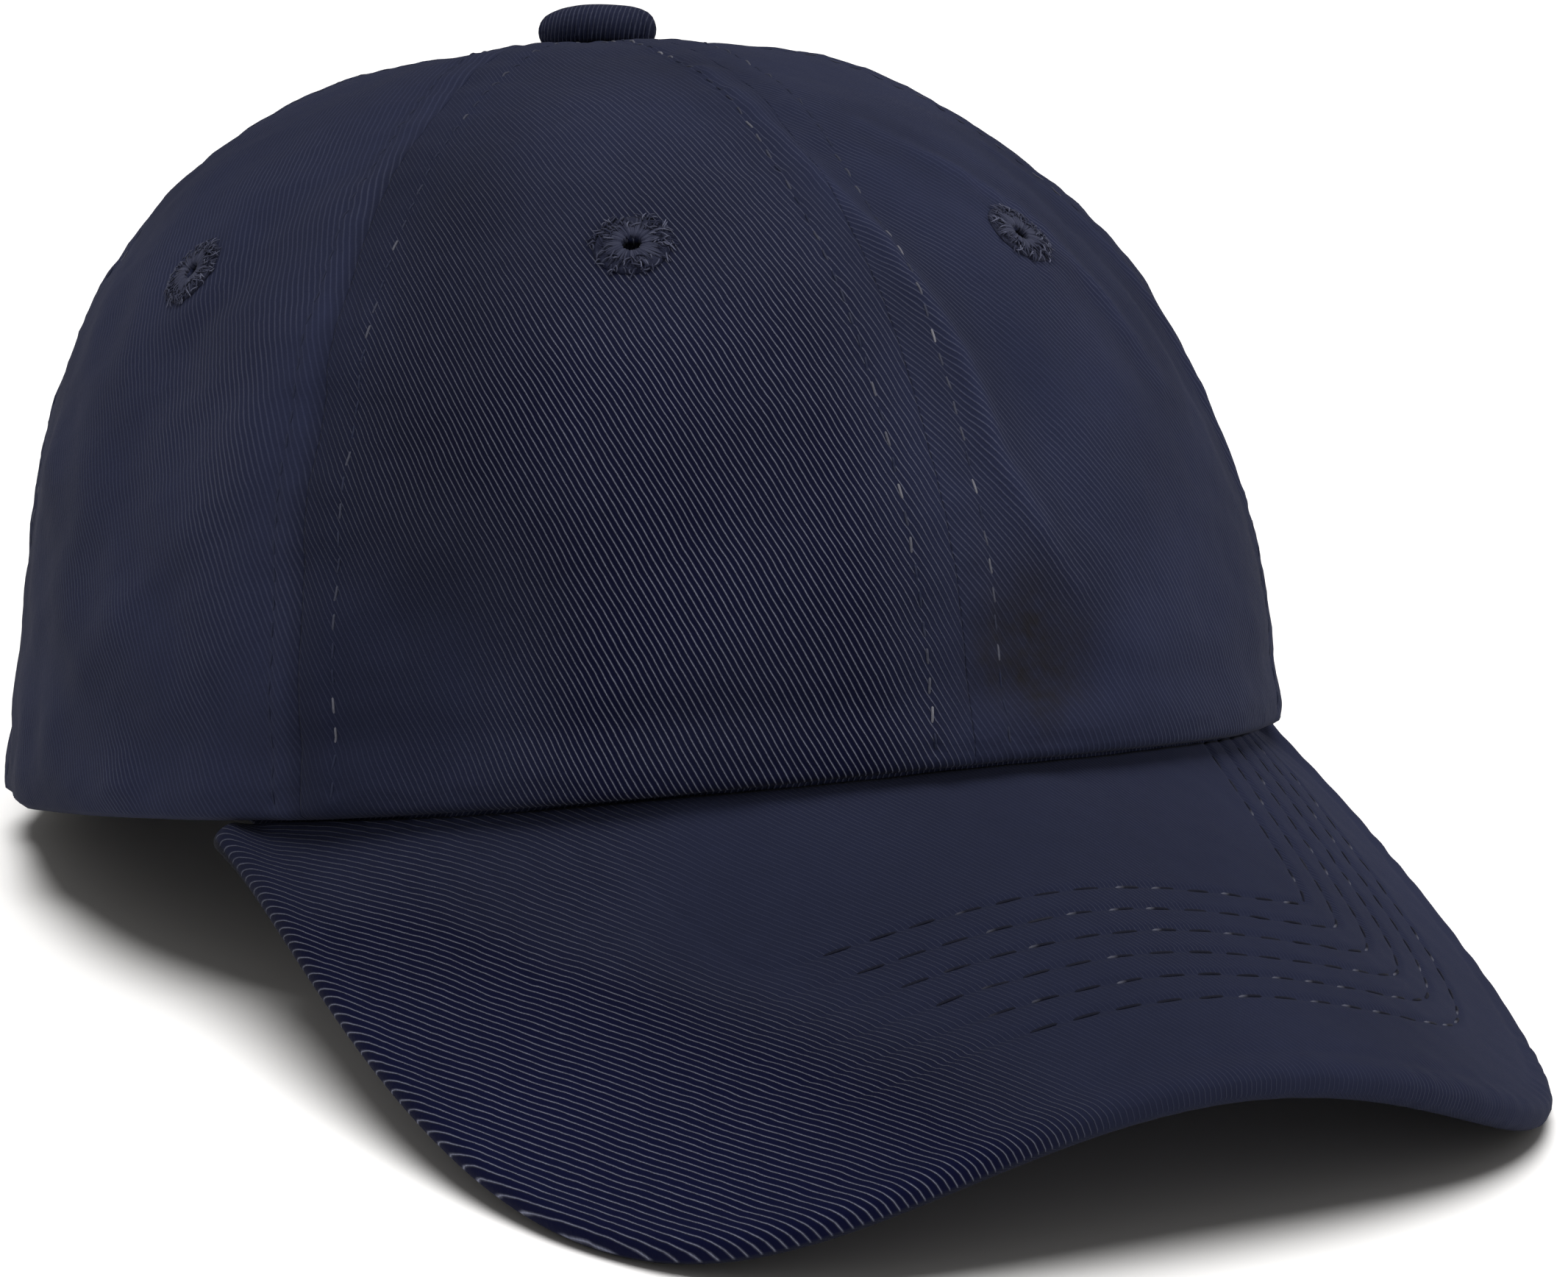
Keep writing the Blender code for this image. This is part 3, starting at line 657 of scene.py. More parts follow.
def twill(name, pitch, lean, nap=None, wale=1.0, plain=1.0, thin=5.5):
    """Twill cloth: thin light wales over dark grooves where the nap is clear, even navy where it's worn.

    lean is the wales' angle from the cloth's u, in degrees.
    """
    shader = Shader(name, CLOTH_ROUGHNESS, specular=0.05, sheen=0.01)
    place = shader.weave_place()
    where = shader.object_place()
    slow = shader.math("SUBTRACT", shader.noise(place, 38.0), 0.5)
    fast = shader.math("SUBTRACT", shader.noise(place, 420.0), 0.5)
    wobble = shader.plus(shader.times(slow, 1.3 * MM), shader.times(fast, 0.16 * MM))
    rows, along = shader.stripes(place, math.radians(lean), pitch, wobble)
    crest = shader.math("POWER", rows, thin)
    beads = shader.math("SINE", shader.times(along, 2 * math.pi / (pitch * 0.8)))
    fibre = shader.noise(place, 1900.0, 3.0, 0.65)
    fleck = shader.noise(place, 700.0, 2.0, 0.8)
    lit = shader.times(shader.between(beads, 0.92, 1.0), shader.between(fleck, 0.45, 1.5))
    seen = shader.field("nap") if nap is None else nap
    clear = shader.mix(shader.times(crest, lit, clamp=True), GROUND, tinted(WALE, wale))
    yarn = shader.times(shader.between(crest, 0.9, 1.12), shader.between(fibre, 0.9, 1.1))
    worn = shader.scaled(tinted(PLAIN, plain), yarn)
    patches = shader.noise(where, 20.0, 3.0, 0.6)
    speckle = shader.noise(where, 300.0, 2.0, 0.7)
    tone = shader.times(shader.between(patches, 0.86, 1.14), shader.between(speckle, 0.92, 1.08))
    tone = shader.times(tone, shader.plus(shader.field("tone"), 1.0))
    colour = shader.scaled(shader.mix(shader.math("MINIMUM", seen, 1.0), worn, clear), tone)
    # The crown's dent gets a brownish painted shade here.
    shader.colour(shader.mix(shader.times(shader.field("dent_shade"), speckle, clamp=True), colour, DENT_SHADE))
    shader.rough(fibre, CLOTH_ROUGHNESS - 0.1, CLOTH_ROUGHNESS + 0.08)
    relief = shader.times(crest, shader.plus(seen, 0.1))
    shader.bump(shader.plus(relief, shader.times(fibre, 0.22)), TWILL_RELIEF)
    return shader.material


def thread_material(name, dark, light):
    """Twisted thread: each stitch has its own tone, from the mesh."""
    shader = Shader(name, 0.75, specular=0.08, sheen=0.01)
    twist = shader.noise(shader.object_place(), 1800.0, 2.0, 0.6)
    share = shader.times(shader.field("tone"), shader.between(twist, 0.6, 1.3), clamp=True)
    shader.colour(shader.mix(share, dark, light))
    shader.bump(twist, 0.08 * MM)
    return shader.material


def crossed_yarns(shader, pitch):
    """Stripes both ways of the cloth, each from 0 to 1."""
    place = shader.weave_place()
    return place, shader.stripes(place, 0.0, pitch)[0], shader.stripes(place, math.pi / 2, pitch)[0]


def plain_weave(name, dark, light, pitch, depth):
    """Over and under weave, such as tape."""
    shader = Shader(name, CLOTH_ROUGHNESS, specular=0.25, sheen=0.1)
    place, warp, weft = crossed_yarns(shader, pitch)
    cell = shader.times(warp, weft)
    fibre = shader.noise(place, 1500.0, 3.0, 0.6)
    share = shader.times(cell, shader.between(fibre, 0.7, 1.2), clamp=True)
    tone = shader.between(shader.noise(shader.object_place(), 30.0), 0.85, 1.15)
    shader.colour(shader.scaled(shader.mix(share, dark, light), tone))
    shader.rough(fibre, CLOTH_ROUGHNESS - 0.08, CLOTH_ROUGHNESS + 0.08)
    shader.bump(shader.plus(cell, shader.times(fibre, 0.3)), depth)
    return shader.material


def mesh_weave(name, dark, light, pitch):
    """Stiff open buckram: pale crossed yarns with dark gaps between them."""
    shader = Shader(name, 0.8)
    place, warp, weft = crossed_yarns(shader, pitch)
    yarn = shader.math("MAXIMUM", shader.math("POWER", warp, 2.0), shader.math("POWER", weft, 2.0))
    fibre = shader.noise(place, 1400.0)
    share = shader.times(yarn, shader.between(fibre, 0.8, 1.1), clamp=True)
    shader.colour(shader.mix(share, dark, light))
    shader.bump(yarn, 0.25 * MM)
    return shader.material


def satin_metal(name, colour, roughness):
    shader = Shader(name, roughness, metallic=1.0, specular=0.5)
    where = shader.object_place()
    stretched = shader.node("ShaderNodeMapping", Vector=where, Scale=(300.0, 300.0, 2600.0))
    brushed = shader.noise(stretched.outputs[0], 1.0, 3.0, 0.6)
    worn = shader.noise(where, 160.0, 3.0, 0.6)
    tone = shader.times(shader.between(brushed, 0.85, 1.1), shader.between(worn, 0.8, 1.15))
    shader.colour(shader.scaled(colour, tone))
    shader.rough(worn, roughness - 0.12, roughness + 0.16)
    shader.bump(brushed, 0.01 * MM)
    return shader.material


def moulded_plastic(name, colour):
    shader = Shader(name, 0.5, specular=0.5)
    where = shader.object_place()
    grain = shader.noise(where, 900.0, 3.0, 0.6)
    tone = shader.between(shader.noise(where, 40.0), 0.92, 1.06)
    shader.colour(shader.scaled(colour, tone))
    shader.rough(grain, 0.42, 0.6)
    shader.bump(grain, 0.03 * MM)
    return shader.material


CLOTH_ROUGHNESS = 0.9
TWILL_RELIEF = 0.3 * MM

# Cloth colours: worn smooth, between the wales, on them, and the brownish painted shade in the crown's dent.
PLAIN = rgb(0.0102, 0.0124, 0.0285)
GROUND = rgb(0.0005, 0.0009, 0.0085)
WALE = rgb(0.104, 0.110, 0.150)
DENT_SHADE = rgb(0.0075, 0.0068, 0.0080)

panel_cloth = {
    "front_left": twill("navy_twill_front_left", 0.76 * MM, 120),
    "front_right": twill("navy_twill_front_right", 0.70 * MM, 116.5, wale=1.3, thin=10.0),
    "side": twill("navy_twill_side", 0.72 * MM, 122),
    "back": twill("navy_twill_back", 0.72 * MM, 118),
}
visor_cloth = twill("navy_twill_visor", 0.56 * MM, 119, wale=0.95, plain=0.72, thin=13.0)
under_cloth = twill("navy_twill_under", 0.7 * MM, 61, nap=0.3)
strap_cloth = twill("navy_twill_strap", 0.72 * MM, 62, nap=0.45)
band_cloth = twill("sweatband_twill", 0.6 * MM, 55, nap=0.3, plain=1.2)
button_cloth = twill("navy_twill_button", 0.6 * MM, 60, nap=0.2, plain=0.8)
tape_cloth = plain_weave(
    "seam_tape_cloth", rgb(0.006, 0.007, 0.016), rgb(0.026, 0.029, 0.05), pitch=0.7 * MM, depth=0.2 * MM
)
buckram_cloth = mesh_weave("buckram_mesh", rgb(0.16, 0.16, 0.17), rgb(0.66, 0.66, 0.63), pitch=1.3 * MM)
seam_thread = thread_material("seam_thread", rgb(0.008, 0.010, 0.023), rgb(0.105, 0.105, 0.12))
# The visor thread is painted near black, darker than the cloth: painted shade of the grooves its rows sit in.
visor_thread = thread_material("visor_thread", rgb(0.0012, 0.0016, 0.0060), rgb(0.05, 0.052, 0.07))
eyelet_thread = thread_material("eyelet_thread", rgb(0.0068, 0.0082, 0.0200), rgb(0.085, 0.090, 0.130))
nickel = satin_metal("satin_nickel", rgb(0.36, 0.34, 0.31), 0.34)
steel = satin_metal("pressed_steel", rgb(0.52, 0.52, 0.51), 0.38)
board_plastic = moulded_plastic("visor_board_plastic", rgb(0.70, 0.70, 0.66))


def finish_piece(item, material, slot, body, *nodes):
    item.data.materials.append(material)
    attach(item, body)
    if nodes:
        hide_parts(*nodes)


def show_node(node, material):
    """Gives a CAD node that is seen as it is its material."""
    item = frame["nodes"][node]
    item.data.materials.clear()
    item.data.materials.append(material)


def sew(
    name, rows, material, slot, seed, *, radius, lift, sink,
    pitch=STITCH_PITCH, length=STITCH_LENGTH, body="crown", fade=None, pale_ends=False,
):
    """Rows of stitches as one piece. fade gives the share of its lightness that each point keeps."""
    points, faces, tone = thread_row(rows, radius, pitch, length, lift, sink, seed, pale_ends)
    if fade is not None:
        tone = tone * fade(points)
    finish_piece(build(name, points, faces, tone=tone), material, slot, body)


# Crown panels


def nap_on_crown(points):
    """How clearly the twill shows: worn smooth on the sides and at the top, clear on the right front."""
    angle = bearing(points)
    height = points[..., 2] / MM
    front = smooth(-50, -36, angle) * smooth(1, -8, angle) * smooth(90, 45, height)
    low = smooth(22, 46, height) * smooth(-22, -34, angle) + smooth(-36, -24, angle)
    beside = smooth(-6, 2, angle) * smooth(14, 5, angle) * smooth(14, 30, height) * smooth(84, 60, height)
    side = bell(angle + 60, 8) * smooth(20, 40, height) * smooth(80, 60, height)
    rear = smooth(118, 150, np.abs(angle)) * smooth(90, 60, height)
    clear = 0.86 * front * np.clip(low, 0, 1) + 0.10 * beside + 0.05 * side + 0.35 * rear
    return np.clip(0.07 + clear + 0.05 * swell(points, 22 * MM, 17), 0.04, 1.0)


def tone_on_crown(points):
    """Lighter or darker than the cloth's own colour: a painted highlight along the sharpest folds with
    painted shade beside them, and darker beside the front seam at the wearer's right in its lower part.
    """
    tone = 0.07 * swell(points, 26 * MM, 21)
    angle = bearing(points)
    beside_seam = smooth(-50, -47.5, angle) * smooth(-22, -38, angle)
    tone -= 0.30 * beside_seam * smooth(100 * MM, 70 * MM, points[..., 2])
    for stops, width, amount in FOLDS:
        if amount > 0.5 and width < 3:
            distance, where = nearest(points, crown_curve(stops))
            # A painted highlight along the fold's ridge, and painted shade in a band a few mm to either side
            # of it.
            tone += 0.2 * bell(distance, 1.1 * MM) * np.sin(math.pi * np.clip(where, 0.1, 0.9))
            tone -= 0.1 * bell(distance - 4 * MM, 3 * MM)
    return tone


def shade_in_dent(points):
    """A brownish painted shade in the dent."""
    away = from_spot(points, *DENT) + 1.6 * MM * swell(points, 9 * MM, 23)
    return 1.5 * bell(away, 8.5 * MM)


def panel_grid(low, high, back):
    """(ratio, angle) over a panel. Columns run from low to high, rows from the hem to the apex."""
    columns = crowded(118)[None, :]
    if not back:
        rows = np.concatenate((np.linspace(0, 0.02, 12)[:-1], np.linspace(0.02, 1, 128)))[:, None]
        return np.broadcast_arrays(ratio_along(rows), low + (high - low) * columns)
    turn = np.linspace(0, math.pi / 2, 64)[:, None]
    arch_z = ARCH_HEIGHT * np.sin(turn)
    edge = arch_angle(ARCH_HALF_WIDTH * np.cos(turn), arch_z)
    towards_arch = columns if abs(high) > abs(low) else 1 - columns
    sign = 1 if high + low > 0 else -1
    seam = sign * BACK_SEAM
    angle = seam + (sign * edge - seam) * towards_arch
    level = ARCH_HEIGHT * turn / (math.pi / 2)
    height = level + (arch_z - level) * smooth(0, 1, towards_arch)
    low_part = crown_ratio_at(height, angle)
    angle_top = seam + (sign * math.pi - seam) * towards_arch
    share = np.linspace(0, 1, 76)[1:, None]
    start = np.arcsin(crown_ratio_at(ARCH_HEIGHT, angle_top))
    tip = math.asin(TIP_RADIUS / HALF_WIDTH)
    high_part = np.sin(start + (tip - start) * share)
    return np.vstack((low_part, high_part)), np.vstack((angle, angle_top + 0 * share))


def panel(name, low, high, eyelet, back=False):
    ratio, angle = panel_grid(low, high, back)
    base = crown_point(ratio, angle)
    normal = crown_normal(ratio, angle)
    reach = ratio * local_radius(angle)
    from_low = np.abs(angle - low) * reach
    from_high = np.abs(high - angle) * reach
    to_arch = np.full(ratio.shape, FAR)
    if back:
        turn = np.linspace(0, math.pi, 320)
        arch_z = ARCH_HEIGHT * np.sin(turn)
        edge = arch_angle(ARCH_HALF_WIDTH * np.cos(turn), arch_z)
        to_arch, _ = nearest(base, crown_point(crown_ratio_at(arch_z, edge), edge))
        # Below the top of the opening the panel's inner side is the opening's edge, not a seam.
        no_seam = FAR * smooth(ARCH_HEIGHT, ARCH_HEIGHT - 1 * MM, base[..., 2])
        if abs(high) > abs(low):
            from_high += no_seam
        else:
            from_low += no_seam
    from_hem = np.cumsum(np.linalg.norm(np.diff(base, axis=0, prepend=base[:1]), axis=-1), axis=0)
    seam = np.minimum(from_low, from_high)

    # Seam allowances, the ditch at the seam, dimples along the stitches, and puckers across them.
    relief = crown_relief(base)
    apex = smooth(6 * MM, 20 * MM, np.hypot(base[..., 0], base[..., 1]))
    for distance, phase in ((from_low, 0.0), (from_high, 1.7), (to_arch, 0.6)):
        relief += ALLOWANCE_RISE * smooth(ALLOWANCE_FADE, -ALLOWANCE_FADE, distance - ALLOWANCE_WIDTH)
        relief -= DITCH_DEPTH * bell(distance, 1.1 * MM) * apex
        stitched = 0.62 + 0.38 * np.cos(2 * math.pi * from_hem / STITCH_PITCH + phase)
        relief -= DIMPLE_DEPTH * bell(distance - SEAM_STITCH, 0.75 * MM) * stitched * apex
        ripple = np.sin(2 * math.pi * from_hem / PUCKER_PITCH + phase + 2.2 * swell(base, 30 * MM, 11))
        relief += PUCKER_HEIGHT * ripple * bell(distance - 3.0 * MM, 4.5 * MM) * apex
    relief += HEM_ROLL * bell(from_hem - 3.2 * MM, 2.6 * MM)
    relief -= HEM_GROOVE * bell(from_hem - 8.5 * MM, 2.4 * MM)
    relief += 0.05 * MM * swell(base, 3.5 * MM, 29) * (0.5 + apex / 2)

    # The eyelet's hole, with the cloth drawn flat round it.
    turned, eyelet_ratio = eyelet
    facing = crown_normal(eyelet_ratio, turned)
    beside = base - crown_point(eyelet_ratio, turned)
    plane = beside - (beside @ facing)[..., None] * facing
    spoke = np.linalg.norm(plane, axis=-1)
    relief = relief * (1 - smooth(13 * MM, 5 * MM, spoke))
    pulls = 0.5 + 0.5 * np.sin(9 * np.arctan2(plane[..., 2], plane[..., 0]))
    relief += EYELET_PULL * bell(spoke - 7.5 * MM, 2.0 * MM) * pulls

    thickness = CLOTH + (HEM_THICKNESS - CLOTH) * smooth(9 * MM, 3 * MM, from_hem)
    free_edge = 0.92 * roll(np.minimum(from_hem, to_arch), thickness / 2)
    rounding = np.maximum(free_edge, 0.3 * roll(seam, 0.14 * MM))
    outer = base + normal * (relief - rounding)[..., None]
    inner = base + normal * (relief - thickness + rounding)[..., None]
    sag = FLARE * bell(np.degrees(angle) - SAG_BEARING, 26) * smooth(16 * MM, 0, base[..., 2])
    outer[..., 2] -= sag
    inner[..., 2] -= sag
    near_hole = spoke < EYELET_HOLE
    keep = ~(near_hole[:-1, :-1] & near_hole[1:, 1:] & near_hole[:-1, 1:] & near_hole[1:, :-1])
    middle = (low + high) / 2
    flat = together((angle - middle) * reach, from_hem + hem_height(middle))
    fields = {"nap": nap_on_crown(base), "tone": tone_on_crown(base), "dent_shade": shade_in_dent(base)}
    item = shell(name, outer, inner, flat, keep, **fields)
    cut = next(key for key in panel_cloth if key in name.replace("_panel", ""))
    finish_piece(item, panel_cloth[cut], "navy_twill", "crown", name)

    # Rows of stitches beside each seam, and round the arch.
    rows = []
    surface = base + normal * relief[..., None]
    surface[..., 2] -= sag
    for distance in (from_low, from_high, to_arch):
        points, normals = [], []
        for number, line in enumerate(distance):
            crossed = line.min() <= SEAM_STITCH <= min(line.max(), seam[number].max())
            if not crossed or from_hem[number].max() < 1.5 * MM:
                continue
            places = np.arange(len(line), dtype=float)
            if line[0] > line[-1]:
                line, places = line[::-1], places[::-1]
            where = (np.array([number]), np.array([np.interp(SEAM_STITCH, line, places)]))
            points.append(on_grid(surface, *where)[0])
            normals.append(on_grid(normal, *where)[0])
        rows.append((np.array(points).reshape(-1, 3), np.array(normals).reshape(-1, 3)))
    return rows


def hidden_stitches(points):
    """The row beside the front seam on the wearer's right sits so deep that it hardly shows."""
    angle = bearing(points)
    return 1 - smooth(-48.3, -49.5, angle) * smooth(-100, -90, angle)


panel_rows = []
for side, sign in SIDES:
    for place, low, high in (
        ("front", 0.0, FRONT_SEAM),
        ("side", FRONT_SEAM, BACK_SEAM),
        ("back", BACK_SEAM, math.pi),
    ):
        start, end = sorted((sign * low, sign * high))
        turn, ratio = EYELETS[place]
        rows = panel(f"{place}_panel_{side}", start, end, (sign * turn, ratio), place == "back")
        panel_rows.append((f"{place}_{side}", rows))

for number, (name, rows) in enumerate(panel_rows):
    sew(
        f"seam_stitches_{name}", rows, seam_thread, "navy_twill", 100 + number,
        radius=0.17 * MM, lift=0.02 * MM, sink=0.25 * MM, fade=hidden_stitches,
    )


# Eyelets


def frame_at(ratio, angle):
    """The place on the crown, and the matrix whose columns are across, up the crown, and outwards."""
    out = crown_normal(ratio, angle)
    across = unit(np.cross((0, 0, 1), out))
    return crown_point(ratio, angle), np.column_stack((across, np.cross(out, across), out))


OUTWARD = np.array((0.0, 0.0, 1.0))


def eyelet_parts(seed, spokes=66, loose=130):
    """Satin stitches over the ring, and the loose short ends that roughen its outer half."""
    chance = np.random.default_rng(seed)
    share = np.linspace(0, 1, 8)
    turn = full_turn(spokes) + chance.uniform(-0.04, 0.04, spokes)
    inner = 1.25 * MM + chance.uniform(-0.1, 0.12, spokes) * MM
    outer = chance.uniform(3.5, 4.7, spokes) * MM
    radius = inner[:, None] + (outer - inner)[:, None] * np.clip((share - 0.12) / 0.88, 0, 1)
    height = 0.44 * MM * np.sin(math.pi * np.clip(share * 0.86 + 0.1, 0, 1)) ** 0.5
    height -= 0.8 * MM * (share < 0.06)
    angle = turn[:, None] + chance.uniform(0.0, 0.22, spokes)[:, None] * share
    paths = together(radius * np.cos(angle), radius * np.sin(angle), height)
    taper = np.array((0.7, 0.9, 1.0, 1.0, 1.0, 0.95, 0.8, 0.4))
    satin = tubes(paths, OUTWARD, 0.19 * MM * taper, 0.14 * MM * taper, EYELET_SIDES)
    satin_tone = np.repeat(chance.uniform(0, 0.22, spokes), len(satin[0]) // spokes)

    turn = chance.uniform(0, 2 * math.pi, loose)
    radius = 4.95 * MM - 2.2 * MM * chance.uniform(0, 1, loose) ** 1.4
    lean = turn + chance.normal(0, 0.75, loose)
    length = chance.uniform(0.7, 1.7, loose) * MM
    middle = together(radius * np.cos(turn), radius * np.sin(turn))
    bow = chance.normal(0, 0.16, loose)[:, None] * MM * (1 - (2 * share - 1) ** 2)
    forward = together(np.cos(lean), np.sin(lean))
    aside = together(-np.sin(lean), np.cos(lean))
    place = middle[:, None] + forward[:, None] * ((share - 0.5) * length[:, None])[..., None]
    place = place + aside[:, None] * bow[..., None]
    top = 0.50 * MM * smooth(5.4 * MM, 3.6 * MM, np.linalg.norm(place, axis=-1)) + 0.08 * MM
    arch = top + chance.uniform(0.0, 0.22, loose)[:, None] * MM * np.sin(math.pi * share)
    arch -= 0.12 * MM * (share < 0.1)
    paths = together(place[..., 0], place[..., 1], arch)
    taper = np.array((0.8, 1.0, 1.0, 1.0, 0.9, 0.8, 0.6, 0.3))
    ends = tubes(paths, OUTWARD, 0.1 * MM * taper, 0.09 * MM * taper, EYELET_SIDES)
    tone = chance.uniform(0, 1, loose)[:, None] ** 2 * (0.35 + 0.65 * share)
    return [satin, ends], np.concatenate((satin_tone, np.repeat(tone.ravel(), EYELET_SIDES)))


# The padding under the stitches, as (radius, height) in mm.
RING_PROFILE = (
    (1.25, -1.2), (1.2, 0.1), (1.8, 0.3), (3.2, 0.36),
    (4.2, 0.2), (4.7, -0.02), (4.4, -0.25), (2.0, -0.3),
)

for side, sign in SIDES:
    for number, (place, (turn, ratio)) in enumerate(EYELETS.items()):
        centre, axes = frame_at(ratio, sign * turn)
        threads, tone = eyelet_parts(40 + 3 * number + sign)
        ring = lathe(RING_PROFILE, 48)
        points, faces = joined([*threads, ring])
        tone = np.concatenate((tone, np.zeros(len(ring[0]))))
        if (place, side) != ("front", "right"):
            tone = np.minimum(tone + 0.08, 1)
        eyelet = build(f"eyelet_{place}_{side}_stitched", points @ axes.T + centre, faces, tone=tone)
        finish_piece(eyelet, eyelet_thread, "eyelet_thread", "crown", f"eyelet_{place}_{side}")


# Lining


def lining(name, ratio, angle, inset, thickness, flat, material, slot, nodes, extra=0.0, keep=None):
    """A layer that lies this far inside the crown and follows its folds. Returns its inner face."""
    relief = crown_relief(crown_point(ratio, angle)) + extra
    normal = crown_normal(ratio, angle)
    outer = crown_point(ratio, angle, inset) + normal * relief[..., None]
    inner = outer - normal * thickness
    item = shell(name, outer, inner, flat, keep, tone=0 * ratio)
    finish_piece(item, material, slot, "crown", *nodes)
    return inner, -normal


def seam_tape(node, ratio, angle, flat, extra, keep=None):
    """A tape over a seam. Returns its two rows of stitches."""
    face, facing = lining(
        f"{node}_cloth", ratio, angle, TAPE_INSET, TAPE_THICKNESS, flat, tape_cloth, "seam_tape",
        [node], extra, keep,
    )
    return [(face[:, column], facing[:, column]) for column in TAPE_STITCH_COLUMNS]


for side, sign in SIDES:
    rows = np.linspace(0, 1, 120)[:, None]
    columns = np.linspace(0, 1, 80)[None]
    ratio = ratio_along(rows, 10.5 * MM) + 0 * columns
    trim = 2.5 * MM / (ratio * HALF_WIDTH)
    start, end = sorted((0.0, sign * FRONT_SEAM))
    angle = start + trim + (end - start - 2 * trim) * columns
    centre, axes = frame_at(EYELETS["front"][1], sign * EYELETS["front"][0])
    spoke = np.linalg.norm((crown_point(ratio, angle) - centre) @ axes[:, :2], axis=-1)
    open_cell = (spoke[:-1, :-1] + spoke[1:, 1:]) / 2 < 2.7 * MM
    flat = together((angle - start) * ratio * local_radius(angle), rows * 130 * MM)
    lining(
        f"buckram_{side}_mesh", ratio, angle, BUCKRAM_INSET, BUCKRAM_THICKNESS, flat, buckram_cloth,
        "buckram_mesh", [f"buckram_{side}"], keep=~open_cell,
    )

tape_rows = []
for side, sign in SIDES:
    for place, seam in (("front", FRONT_SEAM), ("back", BACK_SEAM)):
        rows = np.linspace(0, 1, 160)[:, None]
        across = np.linspace(-TAPE_WIDTH / 2, TAPE_WIDTH / 2, TAPE_COLUMNS)[None]
        ratio = ratio_along(rows, 16.5 * MM) + 0 * across
        angle = sign * seam + across / (ratio * local_radius(sign * seam))
        raised = 0.25 * MM * bell(across, 2.2 * MM)
        raised -= 0.15 * MM * bell(np.abs(across) - SEAM_STITCH, 0.8 * MM)
        flat = together(across, rows * 120 * MM)
        tape_rows += seam_tape(f"{place}_seam_tape_{side}", ratio, angle, flat, -raised - 0.05 * MM)

# The centre tape runs over the crown from the front hem to the rear opening.
rows = np.linspace(0, 1, 260)[:, None]
across = np.linspace(-TAPE_WIDTH / 2, TAPE_WIDTH / 2, TAPE_COLUMNS)[None]
last = math.asin(crown_ratio_at(ARCH_HEIGHT + 1.5 * MM, math.pi, TAPE_INSET))
sideways = across / (HALF_WIDTH - TAPE_INSET) + 0 * rows
along = np.sin(-math.pi / 2 + (math.pi / 2 + last) * rows) * np.sqrt(1 - sideways**2)
ratio, angle = np.hypot(sideways, along), np.arctan2(sideways, -along)
middle = ratio * HALF_WIDTH < 2.2 * MM
tape_rows += seam_tape(
    "centre_seam_tape", np.maximum(ratio, 0.012), angle, together(across, rows * 260 * MM), -0.05 * MM,
    ~(middle[:-1, :-1] & middle[1:, 1:]),
)
sew(
    "tape_stitches", tape_rows, seam_thread, "seam_tape", 500,
    radius=0.19 * MM, lift=0.03 * MM, sink=0.2 * MM, fade=lambda points: 0.5,
)


def sweatband():
    """A folded band: it leaves the hem's inner edge, stands off the crown, and is rolled at the top."""
    rise = np.concatenate((np.linspace(0, 8, 22)[:-1], np.linspace(8, 32, 40)))[:, None] * MM
    angle = np.linspace(-SWEATBAND_END, SWEATBAND_END, 420)[None] + 0 * rise
    inset = HEM_INSET + (SWEATBAND_INSET - HEM_INSET) * np.sqrt(smooth(-0.5 * MM, 9 * MM, rise)) + 0 * angle
    low = 0.2 * MM - 1.5 * MM * smooth(math.radians(62), math.radians(59), np.abs(angle))
    height = hem_height(angle) + low + rise * (1 - low / SWEATBAND_HEIGHT)
    ratio = crown_ratio_at(height, angle, inset)
    base = crown_point(ratio, angle, inset)
    base[..., 2] += np.minimum(height - hem_height(angle), 0)
    normal = crown_normal(ratio, angle)
    shift = 0.22 * MM * swell(base, 13 * MM, 201) * smooth(3 * MM, 12 * MM, rise)
    puckers = np.sin(angle * SWEATBAND_PUCKERS + 2 * swell(base, 22 * MM, 205))
    shift += 0.13 * MM * puckers * bell(rise - 3 * MM, 3.5 * MM)
    dimples = 0.2 * MM * sum(bell(rise - level, 0.7 * MM) for level in SWEATBAND_ROWS)
    edge = roll(np.minimum(rise, SWEATBAND_HEIGHT - rise), 0.6 * MM) * 0.5
    inner = base + normal * (shift - SWEATBAND_THICKNESS + dimples + edge)[..., None]
    outer = base + normal * (shift - edge)[..., None]
    flat = together(angle * HALF_WIDTH, rise)
    item = shell("sweatband_cloth", outer, inner, flat, tone=0.12 * swell(base, 30 * MM, 207) - 0.1)
    finish_piece(item, band_cloth, "sweatband_cloth", "crown", "sweatband")
    stitched = [int(np.abs(rise[:, 0] - level).argmin()) for level in SWEATBAND_ROWS]
    sew(
        "sweatband_stitches", [(inner[row], -normal[row]) for row in stitched], seam_thread,
        "sweatband_cloth", 520, radius=0.2 * MM, lift=0.03 * MM, sink=0.25 * MM,
    )


sweatband()


def arch_line(half_width, height, low_end, count, inset):
    """A curve round the rear opening, with the crown's normals along it."""
    turn = np.linspace(low_end, math.pi - low_end, count)
    z = height * np.sin(turn)
    angle = arch_angle(half_width * np.cos(turn), z, inset)
    ratio = crown_ratio_at(z, angle, inset)
    normal = crown_normal(ratio, angle)
    relief = crown_relief(crown_point(ratio, angle))
    return crown_point(ratio, angle, inset) + normal * relief[:, None], normal


